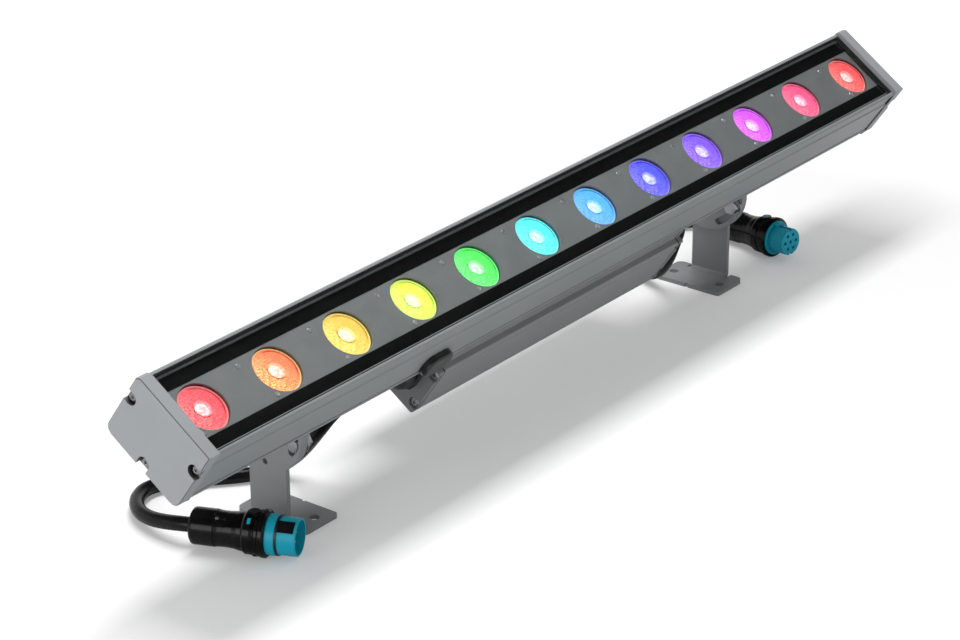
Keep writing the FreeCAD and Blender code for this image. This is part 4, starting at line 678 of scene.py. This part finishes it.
def lens_profile():
    """(radius, height) of the turned lens, from its middle round to its rear."""
    rim = LENS_RADIUS
    points = []
    for i in range(LENS_DISH_STEPS + 1):
        share = i / LENS_DISH_STEPS
        points.append((LENS_MIDDLE * share, -LENS_DISH_TOP - LENS_DISH_DEPTH * share ** 2))
    points += [
        (LENS_MIDDLE + 0.0003, -0.0004), (rim - LENS_RIM, -0.0002),
        (rim - LENS_RIM + 0.0002, -LENS_RIM_DROP), (rim - 0.0003, -LENS_RIM_DROP),
        (rim, -LENS_RIM_DROP - 0.0003), (rim, -LENS_FLANGE_DEPTH), (rim - 0.001, -LENS_WAIST),
    ]
    for i in range(1, 9):
        share = i / 8
        bulge = LENS_BULGE * math.sin(math.pi * share)
        radius = rim - 0.001 + (LENS_REAR_RADIUS - rim + 0.001) * share + bulge
        points.append((radius, -LENS_WAIST - (LENS_DEPTH - LENS_WAIST) * share))
    points.append((0.0, -LENS_DEPTH))
    return points


def turned_mesh(name, profile, steps):
    """A closed solid of revolution about Z from (radius, height) points."""
    form = bmesh.new()
    rings = []
    for radius, height in profile:
        if radius == 0:
            rings.append([form.verts.new((0, 0, height))])
            continue
        rings.append([form.verts.new((radius * math.cos(2 * math.pi * i / steps),
                                      radius * math.sin(2 * math.pi * i / steps), height))
                      for i in range(steps)])
    for upper, lower in zip(rings, rings[1:]):
        for i in range(steps):
            j = (i + 1) % steps
            if len(upper) == 1:
                form.faces.new((upper[0], lower[i], lower[j]))
            elif len(lower) == 1:
                form.faces.new((upper[i], lower[0], upper[j]))
            else:
                form.faces.new((upper[i], lower[i], lower[j], upper[j]))
    bmesh.ops.recalc_face_normals(form, faces=form.faces)
    mesh = bpy.data.meshes.new(name)
    form.to_mesh(mesh)
    form.free()
    mesh.shade_smooth()
    mesh.set_sharp_from_angle(angle=LENS_SHARP_ANGLE)
    return mesh


def times(tree, first, second):
    product = tree.nodes.new("ShaderNodeMath")
    product.operation = "MULTIPLY"
    tree.links.new(first, product.inputs[0])
    tree.links.new(second, product.inputs[1])
    return product.outputs[0]


def band(tree, value, middle, half, soft):
    """1 where a value lies within half of the middle, with soft sides."""
    rising = spread(tree, value, 0.0, 1.0, middle - half - soft, middle - half)
    falling = spread(tree, value, 1.0, 0.0, middle + half, middle + half + soft)
    return times(tree, rising, falling)


def lens_glow(name, hue, turn):
    """Lit clear plastic: white-hot middle, dotted field, one side paler than the other."""
    dark = to_linear(colorsys.hsv_to_rgb(hue, 0.75, 0.62))
    deep = to_linear(colorsys.hsv_to_rgb(hue, 0.68, 0.93))
    field = to_linear(colorsys.hsv_to_rgb(hue, 0.55, 1.0))
    light = to_linear(colorsys.hsv_to_rgb(hue + turn, 0.36, 1.0))
    mat, tree, shader = new_finish(name, field, 0.16)
    coords = tree.nodes.new("ShaderNodeTexCoord")
    own = tree.nodes.new("ShaderNodeMapping")
    own.vector_type = "TEXTURE"
    own.name = "own_frame"
    tree.links.new(coords.outputs["Object"], own.inputs["Vector"])
    flat = tree.nodes.new("ShaderNodeVectorMath")
    flat.operation = "MULTIPLY"
    flat.inputs[1].default_value = (1.0, 1.0, 0.0)
    tree.links.new(own.outputs["Vector"], flat.inputs[0])
    length = tree.nodes.new("ShaderNodeVectorMath")
    length.operation = "LENGTH"
    tree.links.new(flat.outputs["Vector"], length.inputs[0])
    reach = length.outputs["Value"]
    dot = tree.nodes.new("ShaderNodeVectorMath")
    dot.operation = "DOT_PRODUCT"
    dot.inputs[1].default_value = LENS_PALE_SIDE
    tree.links.new(flat.outputs["Vector"], dot.inputs[0])
    side = dot.outputs["Value"]
    cells = tree.nodes.new("ShaderNodeTexVoronoi")
    cells.inputs["Scale"].default_value = 1.0 / LENSLET_PITCH
    cells.inputs["Randomness"].default_value = 0.5
    tree.links.new(flat.outputs["Vector"], cells.inputs["Vector"])
    tone = blend_colours(tree, spread(tree, side, 0.0, 1.0, -0.011, 0.014), field, light)
    dots = spread(tree, cells.outputs["Distance"], 0.0, 1.0, 0.3, 0.65)
    tone = blend_colours(tree, dots, tone, deep)
    around = times(tree, band(tree, reach, LENS_RING, LENS_RING_HALF, LENS_RING_SOFT),
                   spread(tree, side, 0.0, 1.0, -0.001, 0.004))
    rough_ring = times(tree, around, spread(tree, noise(tree, 900.0), 0.2, 1.0, 0.4, 0.6))
    tone = blend_colours(tree, rough_ring, tone, dark)
    groove = times(tree, band(tree, reach, LENS_GROOVE, LENS_GROOVE_HALF, LENS_GROOVE_SOFT),
                   spread(tree, side, 0.8, 0.0, -0.012, -0.002))
    tone = blend_colours(tree, groove, tone, dark)
    swirl = noise(tree, 420.0, 2.0)
    core = blend_colours(tree, spread(tree, swirl, 0.0, 1.0, 0.42, 0.58),
                         to_linear(colorsys.hsv_to_rgb(hue, 0.1, 1.0)),
                         to_linear(colorsys.hsv_to_rgb(hue, 0.3, 1.0)))
    middle = spread(tree, reach, 1.0, 0.0, *LENS_CORE)
    tone = blend_colours(tree, middle, tone, core)
    rim = spread(tree, reach, 0.0, 0.7, *LENS_RIM_TONE)
    tone = blend_colours(tree, rim, tone, light)
    tree.links.new(tone, shader.inputs["Base Color"])
    tree.links.new(tone, shader.inputs["Emission Color"])
    shader.inputs["Emission Strength"].default_value = LENS_GLOW
    shader.inputs["Coat Weight"].default_value = LENS_COAT
    shader.inputs["Coat Roughness"].default_value = LENS_COAT_ROUGHNESS
    return mat


def lenslet_tree():
    """Lays a hexagonal field of small domes over a disc, joined to the turned lens."""
    tree = bpy.data.node_groups.new("lenslet_field", "GeometryNodeTree")
    face = tree.interface
    face.new_socket("Geometry", in_out="INPUT", socket_type="NodeSocketGeometry")
    for label in ("Pitch", "Inner radius", "Outer radius", "Dome height"):
        face.new_socket(label, in_out="INPUT", socket_type="NodeSocketFloat")
    face.new_socket("Finish", in_out="INPUT", socket_type="NodeSocketMaterial")
    face.new_socket("Geometry", in_out="OUTPUT", socket_type="NodeSocketGeometry")
    source = tree.nodes.new("NodeGroupInput")
    result = tree.nodes.new("NodeGroupOutput")

    def maths(operation, first, second):
        node = tree.nodes.new("ShaderNodeMath")
        node.operation = operation
        for socket, value in zip(node.inputs, (first, second)):
            if isinstance(value, float):
                socket.default_value = value
            else:
                tree.links.new(value, socket)
        return node.outputs[0]

    pitch = source.outputs["Pitch"]
    rise = maths("MULTIPLY", pitch, math.sqrt(3.0))
    wide = maths("MULTIPLY", pitch, LENSLET_COLUMNS - 1.0)
    tall = maths("MULTIPLY", rise, LENSLET_ROWS - 1.0)
    join = tree.nodes.new("GeometryNodeJoinGeometry")
    for shift in (0.0, 0.5):
        grid = tree.nodes.new("GeometryNodeMeshGrid")
        grid.inputs["Vertices X"].default_value = LENSLET_COLUMNS
        grid.inputs["Vertices Y"].default_value = LENSLET_ROWS
        tree.links.new(wide, grid.inputs["Size X"])
        tree.links.new(tall, grid.inputs["Size Y"])
        offset = tree.nodes.new("ShaderNodeCombineXYZ")
        tree.links.new(maths("MULTIPLY", pitch, shift), offset.inputs["X"])
        tree.links.new(maths("MULTIPLY", rise, shift), offset.inputs["Y"])
        move = tree.nodes.new("GeometryNodeTransform")
        tree.links.new(grid.outputs["Mesh"], move.inputs["Geometry"])
        tree.links.new(offset.outputs["Vector"], move.inputs["Translation"])
        tree.links.new(move.outputs["Geometry"], join.inputs["Geometry"])
    points = tree.nodes.new("GeometryNodeMeshToPoints")
    tree.links.new(join.outputs["Geometry"], points.inputs["Mesh"])
    place = tree.nodes.new("GeometryNodeInputPosition")
    reach = tree.nodes.new("ShaderNodeVectorMath")
    reach.operation = "LENGTH"
    tree.links.new(place.outputs["Position"], reach.inputs[0])
    outside = maths("GREATER_THAN", reach.outputs["Value"], source.outputs["Outer radius"])
    inside = maths("LESS_THAN", reach.outputs["Value"], source.outputs["Inner radius"])
    trim = tree.nodes.new("GeometryNodeDeleteGeometry")
    trim.domain = "POINT"
    tree.links.new(points.outputs["Points"], trim.inputs["Geometry"])
    tree.links.new(maths("MAXIMUM", outside, inside), trim.inputs["Selection"])
    dome = tree.nodes.new("GeometryNodeMeshUVSphere")
    dome.inputs["Segments"].default_value = LENSLET_SEGMENTS
    dome.inputs["Rings"].default_value = LENSLET_RINGS
    tree.links.new(maths("MULTIPLY", pitch, LENSLET_COVER), dome.inputs["Radius"])
    squash = tree.nodes.new("GeometryNodeTransform")
    tall_scale = tree.nodes.new("ShaderNodeCombineXYZ")
    tall_scale.inputs["X"].default_value = 1.0
    tall_scale.inputs["Y"].default_value = 1.0
    tree.links.new(source.outputs["Dome height"], tall_scale.inputs["Z"])
    tree.links.new(dome.outputs["Mesh"], squash.inputs["Geometry"])
    tree.links.new(tall_scale.outputs["Vector"], squash.inputs["Scale"])
    lay = tree.nodes.new("GeometryNodeInstanceOnPoints")
    tree.links.new(trim.outputs["Geometry"], lay.inputs["Points"])
    tree.links.new(squash.outputs["Geometry"], lay.inputs["Instance"])
    smooth = tree.nodes.new("GeometryNodeSetShadeSmooth")
    real = tree.nodes.new("GeometryNodeRealizeInstances")
    tree.links.new(lay.outputs["Instances"], real.inputs["Geometry"])
    tree.links.new(real.outputs["Geometry"], smooth.inputs["Geometry"])
    whole = tree.nodes.new("GeometryNodeJoinGeometry")
    tree.links.new(smooth.outputs["Geometry"], whole.inputs["Geometry"])
    tree.links.new(source.outputs["Geometry"], whole.inputs["Geometry"])
    paint = tree.nodes.new("GeometryNodeSetMaterial")
    tree.links.new(whole.outputs["Geometry"], paint.inputs["Geometry"])
    tree.links.new(source.outputs["Finish"], paint.inputs["Material"])
    tree.links.new(paint.outputs["Geometry"], result.inputs["Geometry"])
    return tree


def grown(name, mesh, tree, values):
    """Runs a tree on a mesh and gives the result as a plain mesh."""
    seed = link_new(name + "_seed", mesh)
    modifier = seed.modifiers.new("tree", "NODES")
    modifier.node_group = tree
    for item in tree.interface.items_tree:
        if item.in_out == "INPUT" and item.name in values:
            modifier[item.identifier] = values[item.name]
    graph = bpy.context.evaluated_depsgraph_get()
    made = bpy.data.meshes.new_from_object(seed.evaluated_get(graph))
    made.name = name
    bpy.data.objects.remove(seed)
    return made


def make_lenses():
    tree = lenslet_tree()
    turned = turned_mesh("lens_turned", lens_profile(), LENS_STEPS)
    for node, hue in LENS_HUES.items():
        turn = LENS_HUE_TURNS.get(node, LENS_HUE_TURN)
        glow = lens_glow(node + "_glow", hue, turn)
        place = lens_place(node)
        own = glow.node_tree.nodes["own_frame"]
        own.inputs["Location"].default_value = place.translation
        own.inputs["Rotation"].default_value = (TILT, 0.0, 0.0)
        mesh = grown(node + "_optic", turned.copy(), tree, {
            "Pitch": LENSLET_PITCH,
            "Inner radius": LENS_MIDDLE + LENSLET_PITCH * 0.7,
            "Outer radius": LENS_RADIUS - LENS_RIM - LENSLET_PITCH * 0.5,
            "Dome height": LENSLET_HEIGHT,
            "Finish": glow,
        })
        mesh.transform(place @ Matrix.Translation((0, 0, -LENS_SINK)))
        optic = link_new(node + "_optic", mesh)
        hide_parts(node)
        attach(optic, "head")


make_lenses()


# ---- Light board.
# A white board under the lenses carries one square emitter and one black cup for each.
board_white = moulded("board_white", (0.74, 0.75, 0.72), 0.4)
dress(["led_board"], board_white)
dress(["lens_holders"], moulded("holder_black", (0.012, 0.012, 0.013), 0.4))
dress(["led_emitters"], moulded("emitter_resin", (0.8, 0.7, 0.25), 0.25))


# ---- Power box.
# A second extrusion, screwed behind the bar, holds the driver. Flat end plates close it
# with four screws each over a gasket, and a cable gland sits in each end plate.
box_coat = powder_coat("box_coat", (0.25, 0.265, 0.27), 0.42)
# The end plates get a darker copy of the box's grey: painted shade.
shaded_end_coat = powder_coat("shaded_end_coat", (0.2, 0.21, 0.22), 0.44)
dress(["power_box"], box_coat)
dress(["box_end_left", "box_end_right"], shaded_end_coat)
dress(["box_gaskets"], seal_rubber)
dress(["box_screws"], screw_steel)
gland_black = moulded("gland_black", (0.01, 0.01, 0.011), 0.34)
dress(["gland_left", "gland_right", "gland_nuts"], gland_black)
dress(["link_boot"], moulded("boot_black", (0.007, 0.007, 0.008), 0.22, 700.0, 0.15))
bare_aluminium = bright_metal("bare_aluminium", (0.8, 0.8, 0.81), 0.36, (0.1, 1.0, 1.0))
dress(["driver_chassis"], bare_aluminium)
dress(["driver_board"], moulded("circuit_green", (0.01, 0.09, 0.03), 0.35))
dress(["driver_parts"], moulded("driver_black", (0.02, 0.02, 0.022), 0.5))


# ---- Feet, lugs and bolts.
# Each foot is one folded steel plate, coated grey, with two bolt holes in its base. Its
# round top and the lug on the bar share a pivot bolt and a clamp bolt in a curved slot.
foot_coat = powder_coat("foot_coat", (0.25, 0.258, 0.262), 0.4, 0.0005)
dress(["foot_left", "foot_right", "lug_left", "lug_right"], foot_coat)
bolt_steel = bright_metal("bolt_steel", (0.3, 0.3, 0.32), 0.14)
dress(["lug_screws"], screw_steel)
dress(["pivot_bolt_left", "pivot_bolt_right", "clamp_bolt_left",
       "clamp_bolt_right"], bolt_steel)
